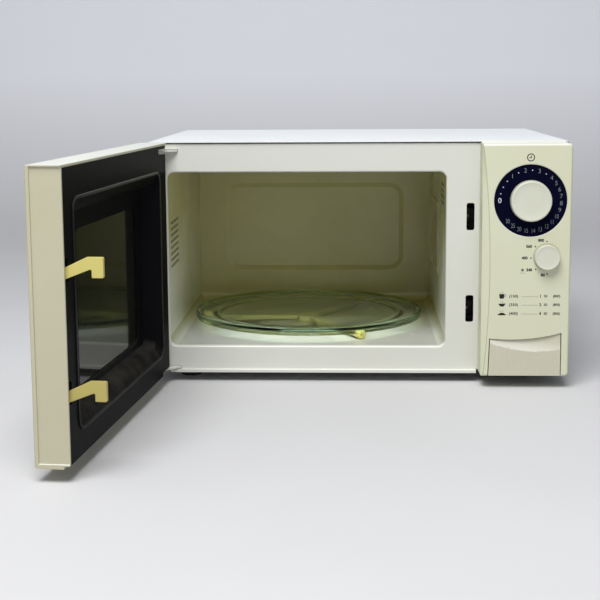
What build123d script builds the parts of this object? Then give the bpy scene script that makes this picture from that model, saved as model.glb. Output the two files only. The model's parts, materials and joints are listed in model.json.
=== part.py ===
from build123d import *
from math import acos, cos, pi, sin, sqrt, tan
import os

os.makedirs("parts", exist_ok=True)

# Cabinet. The origin is on the worktop under the middle of the cover, with the front towards -Y
cabinet_width = 460.0
cabinet_depth = 330.0
cabinet_height = 252.0
sheet = 1.0
cover_bend = 5.0
cover_return = 13.0
base_flange = 7.0
foot_height = 14.0
foot_radius = 14.0
foot_taper = 2.0
foot_inset_x = 42.0
foot_inset_y = 38.0
vent_slot_width = 78.0
vent_slot_height = 4.0
vent_slot_pitch = 9.0
intake_slot_count = 9
exhaust_slot_count = 4
exhaust_inset_x = 75.0
exhaust_drop = 32.0
base_slot_length = 30.0
base_slot_count = 7

half_width = cabinet_width / 2
front_y = -cabinet_depth / 2
back_y = cabinet_depth / 2
base_z = foot_height
base_top = base_z + sheet
top_z = base_z + cabinet_height
inner_half = half_width - sheet
rear_back = back_y - sheet
rear_front = rear_back - sheet

# Front plate, set back a little inside the cover
plate_setback = 2.0
plate_top_gap = 1.6
plate_side_gap = 0.5
plate_fold = 8.0
ledge_reach = 4.5
ledge_lip = 3.5
ledge_round = 0.6
ledge_left_gap = 24.0
opening_lip = 1.5
opening_corner = 8.0
lip_depth = 6.0
lip_round = 1.8

plate_y = front_y + plate_setback
plate_back = plate_y + sheet
plate_half = inner_half - plate_side_gap
plate_top = top_z - sheet - plate_top_gap
ledge_top = base_z

# Cavity
cavity_width = 308.0
cavity_top_gap = 32.0
cavity_depth = 311.0
cavity_left_gap = 21.5
cavity_floor_rise = 24.0
emboss_width = 238.0
emboss_height = 117.0
emboss_corner = 20.0
emboss_depth = 2.5
emboss_run = 6.0
emboss_margin = 2.4
emboss_drop = 97.0
wall_hole_radius = 2.0
wall_hole_pitch = 7.0
exhaust_hole_rows = 8
exhaust_hole_columns = 9
exhaust_hole_y = 63.0
exhaust_hole_drop = 86.0
duct_depth = 14.0
duct_wall = 1.5
duct_margin = 4.0
lamp_hole_rows = 4
lamp_hole_columns = 6
lamp_hole_y = 78.0
lamp_hole_drop = 32.0

cavity_left = -half_width + cavity_left_gap
cavity_right = cavity_left + cavity_width
cavity_mid = (cavity_left + cavity_right) / 2
cavity_floor_z = base_z + cavity_floor_rise
cavity_ceiling_z = top_z - cavity_top_gap
cavity_back_y = plate_back + cavity_depth
cavity_mid_y = (plate_back + cavity_back_y) / 2
lamp_z = cavity_ceiling_z - lamp_hole_drop
lamp_y = plate_back + lamp_hole_y

# Control panel
panel_width = 96.0
panel_depth = 31.0
panel_wall = 2.5
panel_top_drop = 2.0
panel_right_inset = 2.0
panel_corner = 4.0
panel_edge = 2.5
crease_bulge = 8.0
crease_bulge_rise = 151.0
crease_foot = 2.5
crease_depth = 3.0
crease_end_width = 0.04
crease_overrun = 1.0

panel_left = half_width - panel_width
panel_right = half_width - panel_right_inset
panel_front = front_y - panel_depth
panel_inside = panel_front + panel_wall
panel_top = top_z - panel_top_drop
control_window_margin = 12.0
control_window_bottom = 52.0
control_window_top = 28.0

# Timer and power dials
timer_inset = 45.6
timer_drop = 62.2
scale_outer_radius = 38.3
scale_inner_radius = 20.5
scale_recess = 1.8
scale_thickness = 1.2
scale_bevel = 0.6
knob_clearance = 0.5
timer_knob_radius = 22.0
timer_knob_height = 9.0
timer_knob_edge = 1.5
power_inset = 27.6
power_drop = 122.0
power_knob_radius = 13.6
power_knob_height = 8.0
power_knob_edge = 1.2
stem_radius = 4.0
stem_clearance = 0.05
stem_hole_radius = 6.0
boss_height = 3.5
boss_radius = 3.0
unit_plate = 1.5
timer_unit_size = 54.0
timer_unit_depth = 44.0
timer_unit_margin = 4.0
power_unit_size = 32.0
power_unit_depth = 18.0
power_unit_margin = 0.5
stem_depth = 12.0

timer_x = half_width - timer_inset
timer_z = top_z - timer_drop
power_x = half_width - power_inset
power_z = top_z - power_drop
unit_front = panel_inside + boss_height

# Door opening button, its spring and its two pegs
button_left_foot = 7.5
button_left_top = 9.0
button_right_inset = 10.0
button_left_height = 41.0
button_dip_height = 40.0
button_dip_share = 0.4
button_right_height = 47.4
button_gap = 0.8
button_face = 9.0
button_wall = 2.0
button_depth = 20.0
scoop_radius = 60.0
scoop_left_height = 34.3
scoop_right_height = 21.0
scoop_half_chord = 20.0
scoop_left_run = 75.0
scoop_right_run = 45.0
scoop_middle_share = 0.55
peg_radius = 2.5
peg_fit = 0.05
peg_boss_radius = 4.0
peg_rise = 28.0
push_peg_inset = 18.0
guide_peg_inset = 22.0
button_spring_radius = 4.5
button_spring_wire = 0.4
button_spring_turns = 5
button_spring_rise = 16.0
button_spring_boss = 6.0
button_spring_seat = 1.0

# Door, modelled closed and then swung open about its hinge
door_proud = 1.8
door_drop = 1.5
door_rise = 1.5
door_free_gap = 2.0
door_left_gap = 0.5
door_clearance = 2.0
door_wall = 2.5
door_free_wall = 4.0
door_edge = 2.0
door_rest_angle = 95.3
door_hinge_chamfer = 4.0
door_hinge_setback = 5.0
door_foot_step = 2.5
door_foot_depth = 5.0
edge_pocket_depth = 1.5
edge_pocket_front = 4.0
edge_pocket_top = 1.4
edge_pocket_bottom = 4.0
hinge_inset = 10.5
hinge_depth = 13.0
outer_window_width = 256.0
outer_window_height = 170.0
outer_window_corner = 14.0
window_center_inset = 176.5
window_center_rise = 127.5
outer_pane = 3.0
pane_overlap = 5.0
inner_window_width = 197.0
inner_window_height = 142.0
inner_window_inset = 186.0
inner_window_rise = 119.5
inner_window_corner = 6.0
inner_pane = 1.5
screen_thickness = 0.6
screen_hole_radius = 2.0
screen_hole_pitch = 9.0
frame_boss_radius = 4.0
frame_boss_inset = 26.0
cover_slab = 2.0
cover_hinge_gap = 3.0
recess_depth = 17.0
recess_slope = 15.0
brow_run = 9.5
brow_depth = 5.0
recess_floor = 1.5
brow_corner = 9.0
floor_corner = 7.0
bead_width_x = 301.0
bead_width_z = 201.0
bead_center_rise = 124.5
bead_corner = 14.0
bead_rib = 3.0
bead_height = 1.2
bead_round = 0.7
choke_wall_gap = 7.0
choke_wall_inset_hinge = 16.0
choke_wall_inset_z = 10.0
choke_wall_rise = 16.5

door_left = -half_width + door_left_gap
door_right = panel_left - door_free_gap
door_inner = front_y - door_clearance
door_outer = panel_front - door_proud
door_bottom = base_z - door_drop
door_top = panel_top + door_rise
hinge_x = door_left + hinge_inset
hinge_y = door_inner - hinge_depth
shell_inside_right = door_right - door_free_wall
shell_inside_left = door_left + door_wall
shell_inside_front = door_outer + door_wall
shell_inside_top = door_top - door_wall
shell_inside_bottom = door_bottom + door_wall
window_x = door_right - window_center_inset
window_z = door_bottom + window_center_rise
bead_z = door_bottom + bead_center_rise
cover_back = door_inner - cover_slab
recess_y = door_inner - recess_depth
pane_y = recess_y - recess_floor
frame_front = pane_y - inner_pane
frame_back = frame_front - sheet
choke_right = shell_inside_right - choke_wall_gap
choke_left = shell_inside_left + choke_wall_inset_hinge
choke_top = shell_inside_top - choke_wall_inset_z
choke_bottom = door_bottom + choke_wall_rise
door_hinge = Axis((hinge_x, hinge_y, 0), (0, 0, 1))

# Hinge brackets and pins
bracket_thickness = 2.0
bracket_nose = 6.0
bracket_flange = 1.5
bracket_slot_left = 18.0
bracket_slot_right = 35.0
bracket_flange_height = 18.0
bracket_lower_flange_height = 12.0
bracket_top_drop = 8.0
bracket_bottom_rise = 2.5
bracket_slot_gap = 0.5
pin_radius = 2.5
pin_fit = 0.05
pin_length = 9.0
ear_thickness = 4.0
ear_half_width = 7.0
ear_running_gap = 0.3
ear_upper_gap = 4.0
hinge_pocket_gap = 2.0

upper_bracket_top = door_top - bracket_top_drop
upper_bracket_bottom = upper_bracket_top - bracket_thickness
lower_bracket_bottom = door_bottom + bracket_bottom_rise
lower_bracket_top = lower_bracket_bottom + bracket_thickness
bracket_slot_x = (door_left + bracket_slot_left, door_left + bracket_slot_right)
plate_slot_x = (bracket_slot_x[0] - bracket_slot_gap, bracket_slot_x[1] + bracket_slot_gap)

# Latch head in the door and the slots that its hooks enter
latch_inset = 8.25
latch_thickness = 4.5
hook_reach = 31.5
hook_head = 10.0
hook_tip_rise = 57.0
hook_spacing = 103.5
hook_height = 17.2
hook_arm = 9.4
hook_root = 5.0
hook_root_drop = 2.9
hook_crown = 14.0
hook_throat = 6.8
hook_round = 1.4
hook_throat_round = 0.8
latch_travel = 6.0
latch_clearance = 0.8
latch_bar_depth = 12.0
latch_bar_overrun = 10.0
latch_spring_radius = 1.9
latch_spring_wire = 0.35
latch_spring_turns = 9
latch_spring_length = 24.0
latch_stop = 3.0
latch_seat_gap = 0.3
slot_width = 8.6
slot_height = 29.8
slot_corner = 2.2
slot_shift = 0.55
slot_drop = 4.3
lower_slot_lift = 1.9

latch_x = door_right - latch_inset
hook_tip_z = door_bottom + hook_tip_rise
hook_tips = (hook_tip_z, hook_tip_z + hook_spacing)
hook_end_y = door_inner + hook_reach
slot_x = latch_x + slot_shift
bar_bottom = hook_tip_z - latch_bar_overrun
bar_top = hook_tip_z + hook_spacing + hook_height + latch_bar_overrun
bar_back = door_inner - hook_root
bar_front = bar_back - latch_bar_depth
bar_left = latch_x - latch_thickness / 2
bar_right = latch_x + latch_thickness / 2

# Latch board behind the front plate, with its switches and the opening lever
board_plate = 3.0
board_flange = 2.0
board_gap = 4.0
board_half_flange = 14.0
board_overrun = 14.0
board_drop = 19.0
board_slot_margin = 1.0
catch_depth = 6.0
catch_gap = 1.5
catch_rise = 3.0
catch_height = 6.0
switch_length = 28.0
switch_height = 16.0
switch_setback = 2.5
plunger_radius = 1.5
plunger_fit = 0.05
plunger_gap = 0.3
plunger_travel = 1.5
plunger_tail = 4.0
lever_radius = 3.0
lever_fit = 0.05
lever_drop = 11.5
lever_setback = 17.5
lever_finger = 16.0
lever_half_thickness = 2.0
lever_arm = 20.0
lever_arm_half_width = 4.0

board_left = latch_x + latch_thickness / 2 + board_gap
board_right = board_left + board_plate
board_bottom = hook_tip_z - board_drop
board_top = hook_tip_z + hook_spacing + hook_height + board_overrun
switch_front = hook_end_y + switch_setback
switch_back = switch_front + switch_length
plunger_front = hook_end_y + plunger_gap
lever_y = hook_end_y - lever_setback
lever_z = hook_tip_z - lever_drop
push_peg_x = panel_left + push_peg_inset
guide_peg_x = half_width - guide_peg_inset
peg_z = base_z + peg_rise
button_back = panel_front + button_depth
push_peg_tip = lever_y - lever_half_thickness - plunger_gap
spring_seat_y = button_back - (button_depth - button_face - button_spring_boss)

# Turntable, a little left of the middle of the cavity
turntable_shift = 3.5
tray_radius = 138.0
tray_flat_radius = 110.0
tray_glass = 4.5
tray_rim_top = 17.0
tray_rim_thickness = 4.7
tray_rim_inner = 117.0
tray_rim_round = 1.4
tray_bead_inner = 132.5
tray_bead_drop = 3.5
support_top = 7.0
support_arm_thickness = 4.5
support_arm_width = 10.0
support_arm_end = 118.0
support_hub_radius = 14.0
support_hub_gap = 0.6
roller_radius = 5.7
roller_width = 11.0
roller_lift = 0.3
roller_side_gap = 1.0
axle_radius = 1.6
axle_fit = 0.05
roller_angles = {"roller_left": 180.0, "roller_front": -60.0, "roller_back": 60.0}
coupler_radius = 8.0
coupler_height = 4.0
coupler_fit = 0.1
coupler_gap = 0.3
shaft_hole_radius = 9.5
motor_shaft_radius = 3.0
motor_shaft_fit = 0.05
motor_shaft_length = 10.0
turntable_motor_radius = 25.0
turntable_motor_height = 15.0
turntable_motor_ear = 34.0

turntable_x = cavity_mid - turntable_shift
tray_bottom = cavity_floor_z + support_top
roller_z = cavity_floor_z + roller_lift + roller_radius
roller_start = support_arm_end + roller_side_gap
roller_end = roller_start + roller_width
coupler_bottom = cavity_floor_z - sheet + coupler_gap
coupler_top = cavity_floor_z + coupler_height

# Waveguide and magnetron on the right wall of the cavity
waveguide_y = 206.0
waveguide_z = 103.0
waveguide_length = 124.0
waveguide_height = 98.0
waveguide_depth = 38.0
waveguide_wall = 1.2
port_length = 96.0
port_height = 70.0
port_cover_length = 113.0
port_cover_height = 86.0
port_cover_thickness = 0.8
magnetron_length = 36.0
magnetron_width = 84.0
magnetron_height = 76.0
magnetron_plate = 2.0
fin_count = 7
fin_thickness = 0.8
fin_margin = 4.0
anode_radius = 19.0
antenna_radius = 8.0
antenna_length = 22.0
antenna_clearance = 1.0
antenna_port_radius = 12.0
filter_box_depth = 33.0
filter_box_size = 44.0

port_y = plate_back + waveguide_y
port_z = cavity_floor_z + waveguide_z
right_wall_back = cavity_right + sheet
magnetron_x = right_wall_back + waveguide_depth
magnetron_end = magnetron_x + magnetron_plate + magnetron_length + magnetron_plate

# Power parts on the base plate
transformer_x = 62.0
transformer_y = 160.0
core_width = 84.0
core_height = 68.0
core_stack = 58.0
core_leg = 14.0
core_yoke = 13.0
winding_build = 12.0
winding_height = 18.0
winding_gap = 0.5
capacitor_length = 82.0
capacitor_width = 52.0
capacitor_height = 33.0
capacitor_corner = 15.0
capacitor_y = 70.0
terminal_radius = 3.0
terminal_height = 9.0
terminal_spacing = 20.0
diode_length = 24.0
diode_size = 9.0
diode_gap = 14.0

# Cooling fan behind the magnetron
fan_inset = 66.0
fan_drop = 116.0
fan_radius = 50.0
fan_depth = 12.0
fan_hub_radius = 13.0
fan_blade_count = 5
fan_blade_thickness = 1.6
fan_blade_width = 24.0
fan_blade_pitch = 28.0
fan_blade_root = 2.5
fan_rear_gap = 8.0
shroud_gap = 3.0
shroud_wall = 2.5
shroud_depth = 27.0
shroud_arm_width = 9.0
shroud_arm_thickness = 3.0
fan_motor_radius = 22.0
fan_motor_length = 24.0
fan_shaft_radius = 2.0
fan_shaft_fit = 0.05
fan_shaft_end = 14.0

fan_x = half_width - fan_inset
fan_z = top_z - fan_drop
shroud_front = rear_front - shroud_depth
fan_back = rear_front - fan_rear_gap
fan_front = fan_back - fan_depth

# Lamp, filter board, thermal cut-out, cord gland and screws
lamp_stand_off = 15.5
lamp_radius = 9.0
lamp_length = 36.0
lamp_tip_round = 5.5
lamp_socket_radius = 10.5
lamp_socket_length = 20.0
lamp_foot = 1.5
filter_board_width = 80.0
filter_board_height = 42.0
filter_board_thickness = 1.6
filter_board_drop = 30.0
standoff_length = 11.4
standoff_radius = 3.0
cutout_x = 74.0
cutout_y = 222.0
cutout_radius = 8.0
cutout_height = 8.0
gland_inset = 32.0
gland_rise = 26.0
gland_radius = 9.0
gland_flange_radius = 12.0
gland_flange = 4.0
gland_bore = 4.0
screw_radius = 1.8
screw_clearance = 0.1
screw_head_radius = 4.0
screw_head_height = 2.2
screw_length = 8.0
screw_inset = 7.0
screw_side_margin = 40.0
screw_top_spread = 90.0


def keep(builder, name, swing=0.0):
    # the piece in its resting place; door pieces are swung open about the hinge
    piece = builder.part.rotate(door_hinge, -swing) if swing else builder.part
    piece.label = name
    export_step(piece, "parts/" + name + ".step")


def block(x, y, z, mode=Mode.ADD):
    # a box between two limits on each axis
    with Locations(((x[0] + x[1]) / 2, (y[0] + y[1]) / 2, (z[0] + z[1]) / 2)):
        Box(x[1] - x[0], y[1] - y[0], z[1] - z[0], mode=mode)


def rod(start, direction, length, radius, mode=Mode.ADD):
    # a round bar from a start point along a direction
    with Locations(Plane(origin=start, z_dir=direction)):
        Cylinder(radius, length, align=(Align.CENTER, Align.CENTER, Align.MIN), mode=mode)


def facing(x, z, y, corner, mode=Mode.ADD):
    # a rounded rectangle that faces the front, between two depths
    with BuildSketch(Plane.XZ.offset(-y[1])) as outline:
        with Locations(((x[0] + x[1]) / 2, (z[0] + z[1]) / 2)):
            RectangleRounded(x[1] - x[0], z[1] - z[0], corner)
    extrude(outline.sketch, amount=y[1] - y[0], mode=mode)


def tapered(x, z, ends, mode=Mode.ADD):
    # a rounded rectangle that changes size between two depths, each (y, width, height, corner)
    faces = []
    for y, width, height, corner in ends:
        with BuildSketch(Plane.XZ.offset(-y)) as outline:
            with Locations((x, z)):
                RectangleRounded(width, height, corner)
        faces.append(outline.sketch.face())
    loft(faces, ruled=True, mode=mode)


def around(center, size):
    # the two limits of a size about its centre
    return center - size / 2, center + size / 2


def front_slots(x, z, count, length, height, pitch, y):
    # a stack of rounded slots cut through a sheet that faces the front or back
    with BuildSketch(Plane.XZ.offset(-y[1])) as outline:
        with Locations((x, z)):
            with GridLocations(pitch, pitch, 1, count):
                SlotOverall(length, height)
    extrude(outline.sketch, amount=y[1] - y[0], mode=Mode.SUBTRACT)


def coil_line(plane, radius, length, turns):
    # a helix as a chain of arcs: each quarter turn is two arcs that meet smoothly
    spans = 4 * turns
    rise = length / spans
    step = pi / 2
    slope = sqrt((radius * step) ** 2 + rise**2)

    def place(i):
        return plane.from_local_coords(Vector(radius * cos(i * step), radius * sin(i * step), i * rise))

    def heading(i):
        tip = Vector(-radius * step * sin(i * step), radius * step * cos(i * step), rise) / slope
        return plane.from_local_coords(tip) - plane.from_local_coords(Vector(0, 0, 0))

    def arc(start, tangent, end):
        chord = end - start
        half_turn = acos(min(1.0, tangent.dot(chord) / chord.length))
        toward = tangent - chord * (tangent.dot(chord) / chord.length**2)
        middle = (start + end) / 2 + toward.normalized() * (chord.length / 2 * tan(half_turn / 2))
        ThreePointArc(start, middle, end)

    for i in range(spans):
        start, end = place(i), place(i + 1)
        leave, meet = heading(i), heading(i + 1)
        gap = end - start
        bend = 2 * (1 - leave.dot(meet))
        reach = gap.dot(leave + meet)
        leg = (-reach + sqrt(reach**2 + bend * gap.dot(gap))) / bend
        joint = (start + leave * leg + end - meet * leg) / 2
        arc(start, leave, joint)
        arc(joint, (end - meet * leg - joint).normalized(), end)


# Outer cover: top and two sides bent from one sheet, with a narrow return at the back
with BuildPart() as outer_cover:
    with BuildSketch(Plane.XZ.offset(-back_y)) as cover_profile:
        with Locations((0, base_z)):
            Rectangle(cabinet_width, cabinet_height, align=(Align.CENTER, Align.MIN))
        fillet(cover_profile.vertices().group_by(Axis.Y)[-1], cover_bend)
        with Locations((0, base_z)):
            Rectangle(2 * inner_half, cabinet_height - sheet, align=(Align.CENTER, Align.MIN),
                      mode=Mode.SUBTRACT)
    extrude(amount=cabinet_depth)
    with BuildSketch(Plane.XZ.offset(-back_y)):
        with Locations((0, base_z)):
            Rectangle(2 * inner_half, cabinet_height - sheet, align=(Align.CENTER, Align.MIN))
            Rectangle(2 * (inner_half - cover_return), cabinet_height - sheet - cover_return,
                      align=(Align.CENTER, Align.MIN), mode=Mode.SUBTRACT)
    extrude(amount=sheet)
    side_screw_x = half_width - screw_inset
    screw_heights = (base_z + screw_side_margin, (base_z + top_z) / 2, top_z - screw_side_margin)
    screw_places = [(side * side_screw_x, z) for side in (-1, 1) for z in screw_heights]
    screw_places += [(side * screw_top_spread, top_z - screw_inset) for side in (-1, 1)]
    for x, z in screw_places:
        rod((x, back_y - sheet, z), (0, 1, 0), sheet, screw_radius + screw_clearance, Mode.SUBTRACT)
keep(outer_cover, "outer_cover")

# Rear panel with the fan's intake slots, the exhaust slots and the cord gland's hole
gland_x = half_width - gland_inset
gland_z = base_z + gland_rise
exhaust_x = -half_width + exhaust_inset_x
exhaust_z = top_z - exhaust_drop
with BuildPart() as rear_panel:
    block((-inner_half, inner_half), (rear_front, rear_back), (base_z, top_z - sheet))
    rear_span = (rear_front, rear_back)
    front_slots(fan_x, fan_z, intake_slot_count, vent_slot_width, vent_slot_height, vent_slot_pitch, rear_span)
    front_slots(exhaust_x, exhaust_z, exhaust_slot_count, vent_slot_width, vent_slot_height, vent_slot_pitch,
                rear_span)
    rod((gland_x, rear_front, gland_z), (0, 1, 0), sheet, gland_radius, Mode.SUBTRACT)
    for x, z in screw_places:
        rod((x, rear_front, z), (0, 1, 0), sheet, screw_radius + screw_clearance, Mode.SUBTRACT)
keep(rear_panel, "rear_panel")

# Base plate: a shallow pan that the front plate and the rear panel stand against
with BuildPart() as base_plate:
    block((-inner_half, inner_half), (plate_back, rear_front), (base_z, base_top))
    block((-inner_half, inner_half), (plate_back, plate_back + sheet), (base_z, base_z + base_flange))
    block(plate_slot_x, (plate_back, plate_back + sheet), (base_top, base_z + base_flange), Mode.SUBTRACT)
    block((-inner_half, inner_half), (rear_front - sheet, rear_front), (base_z, base_z + base_flange))
    for side in (-1, 1):
        edge = sorted((side * inner_half, side * (inner_half - sheet)))
        block(edge, (plate_back, rear_front), (base_z, base_z + 2 * base_flange))
    with BuildSketch(Plane.XY.offset(base_z)):
        with Locations((-half_width / 2, 0)):
            with GridLocations(vent_slot_pitch, vent_slot_pitch, base_slot_count, 1):
                SlotOverall(base_slot_length, vent_slot_height, rotation=90)
    extrude(amount=sheet, mode=Mode.SUBTRACT)
keep(base_plate, "base_plate")

# Four feet
foot_x = half_width - foot_inset_x
foot_y = cabinet_depth / 2 - foot_inset_y
with BuildPart() as feet:
    with GridLocations(2 * foot_x, 2 * foot_y, 2, 2):
        Cone(foot_radius - foot_taper, foot_radius, foot_height, align=(Align.CENTER, Align.CENTER, Align.MIN))
keep(feet, "feet")

# Front plate with the cavity's opening, the latch slots and the hinge slots
opening_x = (cavity_left + opening_lip, cavity_right - opening_lip)
opening_z = (cavity_floor_z + opening_lip, cavity_ceiling_z - opening_lip)
with BuildPart() as front_plate:
    plate_span = (plate_y, plate_back)
    block((-plate_half, plate_half), plate_span, (base_z, plate_top))
    # the edge of the opening is rolled inwards
    lip_x = (opening_x[0] - sheet, opening_x[1] + sheet)
    lip_z = (opening_z[0] - sheet, opening_z[1] + sheet)
    facing(lip_x, lip_z, (plate_back, plate_back + lip_depth), opening_corner + sheet)
    facing(opening_x, opening_z, (plate_y, plate_back + lip_depth), opening_corner, Mode.SUBTRACT)
    front_edges = front_plate.edges().filter_by_position(Axis.Y, plate_y, plate_y)
    fillet(front_edges.filter_by_position(Axis.X, *opening_x).filter_by_position(Axis.Z, *opening_z), lip_round)
    ledge_left = -half_width + ledge_left_gap
    ledge_front = plate_y - ledge_reach
    block((ledge_left, door_right), (ledge_front, plate_back), (ledge_top - sheet, ledge_top))
    block((ledge_left, door_right), (ledge_front, ledge_front + sheet), (ledge_top - ledge_lip, ledge_top))
    ledge_nose = front_plate.edges().filter_by(Axis.X).group_by(Axis.Y)[0].sort_by(Axis.Z)[-1]
    fillet(ledge_nose, ledge_round)
    # the top edge is folded back and up to meet the cover
    fold_back = plate_back + plate_fold
    block((-plate_half, plate_half), (plate_back, fold_back), (plate_top - sheet, plate_top))
    block((-plate_half, plate_half), (fold_back - sheet, fold_back), (plate_top, top_z - sheet))
    lower_tip, upper_tip = hook_tips
    for slot_bottom in (lower_tip - slot_drop + lower_slot_lift, upper_tip - slot_drop):
        slot_z = (slot_bottom, slot_bottom + slot_height)
        facing(around(slot_x, slot_width), slot_z, plate_span, slot_corner, Mode.SUBTRACT)
    for low, high in ((lower_bracket_bottom, lower_bracket_top), (upper_bracket_bottom, upper_bracket_top)):
        slot_z = (low - bracket_slot_gap, high + bracket_slot_gap)
        block(plate_slot_x, plate_span, slot_z, Mode.SUBTRACT)
    control_x = (panel_left + control_window_margin, half_width - control_window_margin)
    control_z = (base_z + control_window_bottom, top_z - control_window_top)
    block(control_x, plate_span, control_z, Mode.SUBTRACT)
    for x in (push_peg_x, guide_peg_x):
        rod((x, plate_y, peg_z), (0, 1, 0), sheet, peg_radius + peg_fit, Mode.SUBTRACT)
keep(front_plate, "front_plate")

# Cavity: five sheets welded into a box behind the front plate
cavity_x = (cavity_left, cavity_right)
cavity_y = (plate_back, cavity_back_y)
cavity_z = (cavity_floor_z - sheet, cavity_ceiling_z + sheet)
with BuildPart() as cavity_floor:
    block(cavity_x, cavity_y, (cavity_floor_z - sheet, cavity_floor_z))
    floor_hole = (turntable_x, cavity_mid_y, cavity_floor_z - sheet)
    rod(floor_hole, (0, 0, 1), sheet, shaft_hole_radius, Mode.SUBTRACT)
keep(cavity_floor, "cavity_floor")

with BuildPart() as cavity_ceiling:
    block(cavity_x, cavity_y, (cavity_ceiling_z, cavity_ceiling_z + sheet))
keep(cavity_ceiling, "cavity_ceiling")

with BuildPart() as cavity_left_wall:
    block((cavity_left - sheet, cavity_left), cavity_y, cavity_z)
    with BuildSketch(Plane.YZ.offset(cavity_left - sheet)):
        with Locations((plate_back + exhaust_hole_y, cavity_ceiling_z - exhaust_hole_drop)):
            with GridLocations(wall_hole_pitch, wall_hole_pitch, exhaust_hole_columns, exhaust_hole_rows):
                Circle(wall_hole_radius)
    extrude(amount=sheet, mode=Mode.SUBTRACT)
keep(cavity_left_wall, "cavity_left_wall")

# Exhaust duct over the holes in the left wall, open to the back
duct_length = wall_hole_pitch * exhaust_hole_columns + 2 * duct_margin
duct_height = wall_hole_pitch * exhaust_hole_rows + 2 * duct_margin
with BuildPart() as exhaust_duct:
    duct_side = cavity_left - sheet
    duct_y = around(plate_back + exhaust_hole_y, duct_length)
    duct_z = around(cavity_ceiling_z - exhaust_hole_drop, duct_height)
    block((duct_side - duct_depth, duct_side), duct_y, duct_z)
    inside_y = (duct_y[0] + duct_wall, duct_y[1])
    inside_z = (duct_z[0] + duct_wall, duct_z[1] - duct_wall)
    block((duct_side - duct_depth + duct_wall, duct_side), inside_y, inside_z, Mode.SUBTRACT)
keep(exhaust_duct, "exhaust_duct")

with BuildPart() as cavity_right_wall:
    block((cavity_right, cavity_right + sheet), cavity_y, cavity_z)
    with BuildSketch(Plane.YZ.offset(cavity_right)):
        with Locations((lamp_y, lamp_z)):
            with GridLocations(wall_hole_pitch, wall_hole_pitch, lamp_hole_columns, lamp_hole_rows):
                Circle(wall_hole_radius)
        with Locations((port_y, port_z)):
            Rectangle(port_length, port_height)
    extrude(amount=sheet, mode=Mode.SUBTRACT)
keep(cavity_right_wall, "cavity_right_wall")

with BuildPart() as cavity_back_wall:
    block((cavity_left - sheet, cavity_right + sheet), (cavity_back_y, cavity_back_y + sheet), cavity_z)
    # a large shallow panel with sloping edges is pressed into the middle
    emboss_z = cavity_ceiling_z - emboss_drop
    pressings = ((emboss_margin, emboss_depth + sheet, Mode.ADD), (0, emboss_depth, Mode.SUBTRACT))
    for spread, deep, mode in pressings:
        wide = emboss_width + 2 * spread
        tall = emboss_height + 2 * spread
        mouth = (cavity_back_y, wide, tall, emboss_corner + spread)
        run = emboss_run * deep / emboss_depth
        bottom = (cavity_back_y + deep, wide - 2 * run, tall - 2 * run, emboss_corner + spread - run)
        tapered(cavity_mid, emboss_z, (mouth, bottom), mode)
keep(cavity_back_wall, "cavity_back_wall")

# Hinge brackets: a nose through the front plate that carries the pin, on a flange behind the plate
brackets = {
    "upper_hinge_bracket": (upper_bracket_bottom, upper_bracket_top, -bracket_flange_height, -1),
    "lower_hinge_bracket": (lower_bracket_bottom, lower_bracket_top, bracket_lower_flange_height, 1),
}
for name, (low, high, flange_reach, pin_way) in brackets.items():
    slot_middle = sum(bracket_slot_x) / 2
    lean = Vector(slot_middle - hinge_x, plate_y - hinge_y, 0).normalized()
    across = Vector(-lean.Y, lean.X, 0) * bracket_nose
    flange_back = plate_back + bracket_flange
    with BuildPart() as hinge_bracket:
        with BuildSketch(Plane.XY.offset(low)):
            with BuildLine():
                Polyline(
                    (hinge_x + across.X, hinge_y + across.Y),
                    (bracket_slot_x[0], plate_y),
                    (bracket_slot_x[0], flange_back),
                    (bracket_slot_x[1], flange_back),
                    (bracket_slot_x[1], plate_y - bracket_thickness),
                    (hinge_x - across.X, hinge_y - across.Y),
                    close=True,
                )
            make_face()
            with Locations((hinge_x, hinge_y)):
                Circle(bracket_nose)
        extrude(amount=bracket_thickness)
        flange_z = sorted((low if pin_way > 0 else high, (low if pin_way > 0 else high) + flange_reach))
        block(bracket_slot_x, (plate_back, flange_back), flange_z)
        pin_start = (hinge_x, hinge_y, high if pin_way > 0 else low)
        rod(pin_start, (0, 0, pin_way), pin_length, pin_radius)
    keep(hinge_bracket, name)

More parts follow.
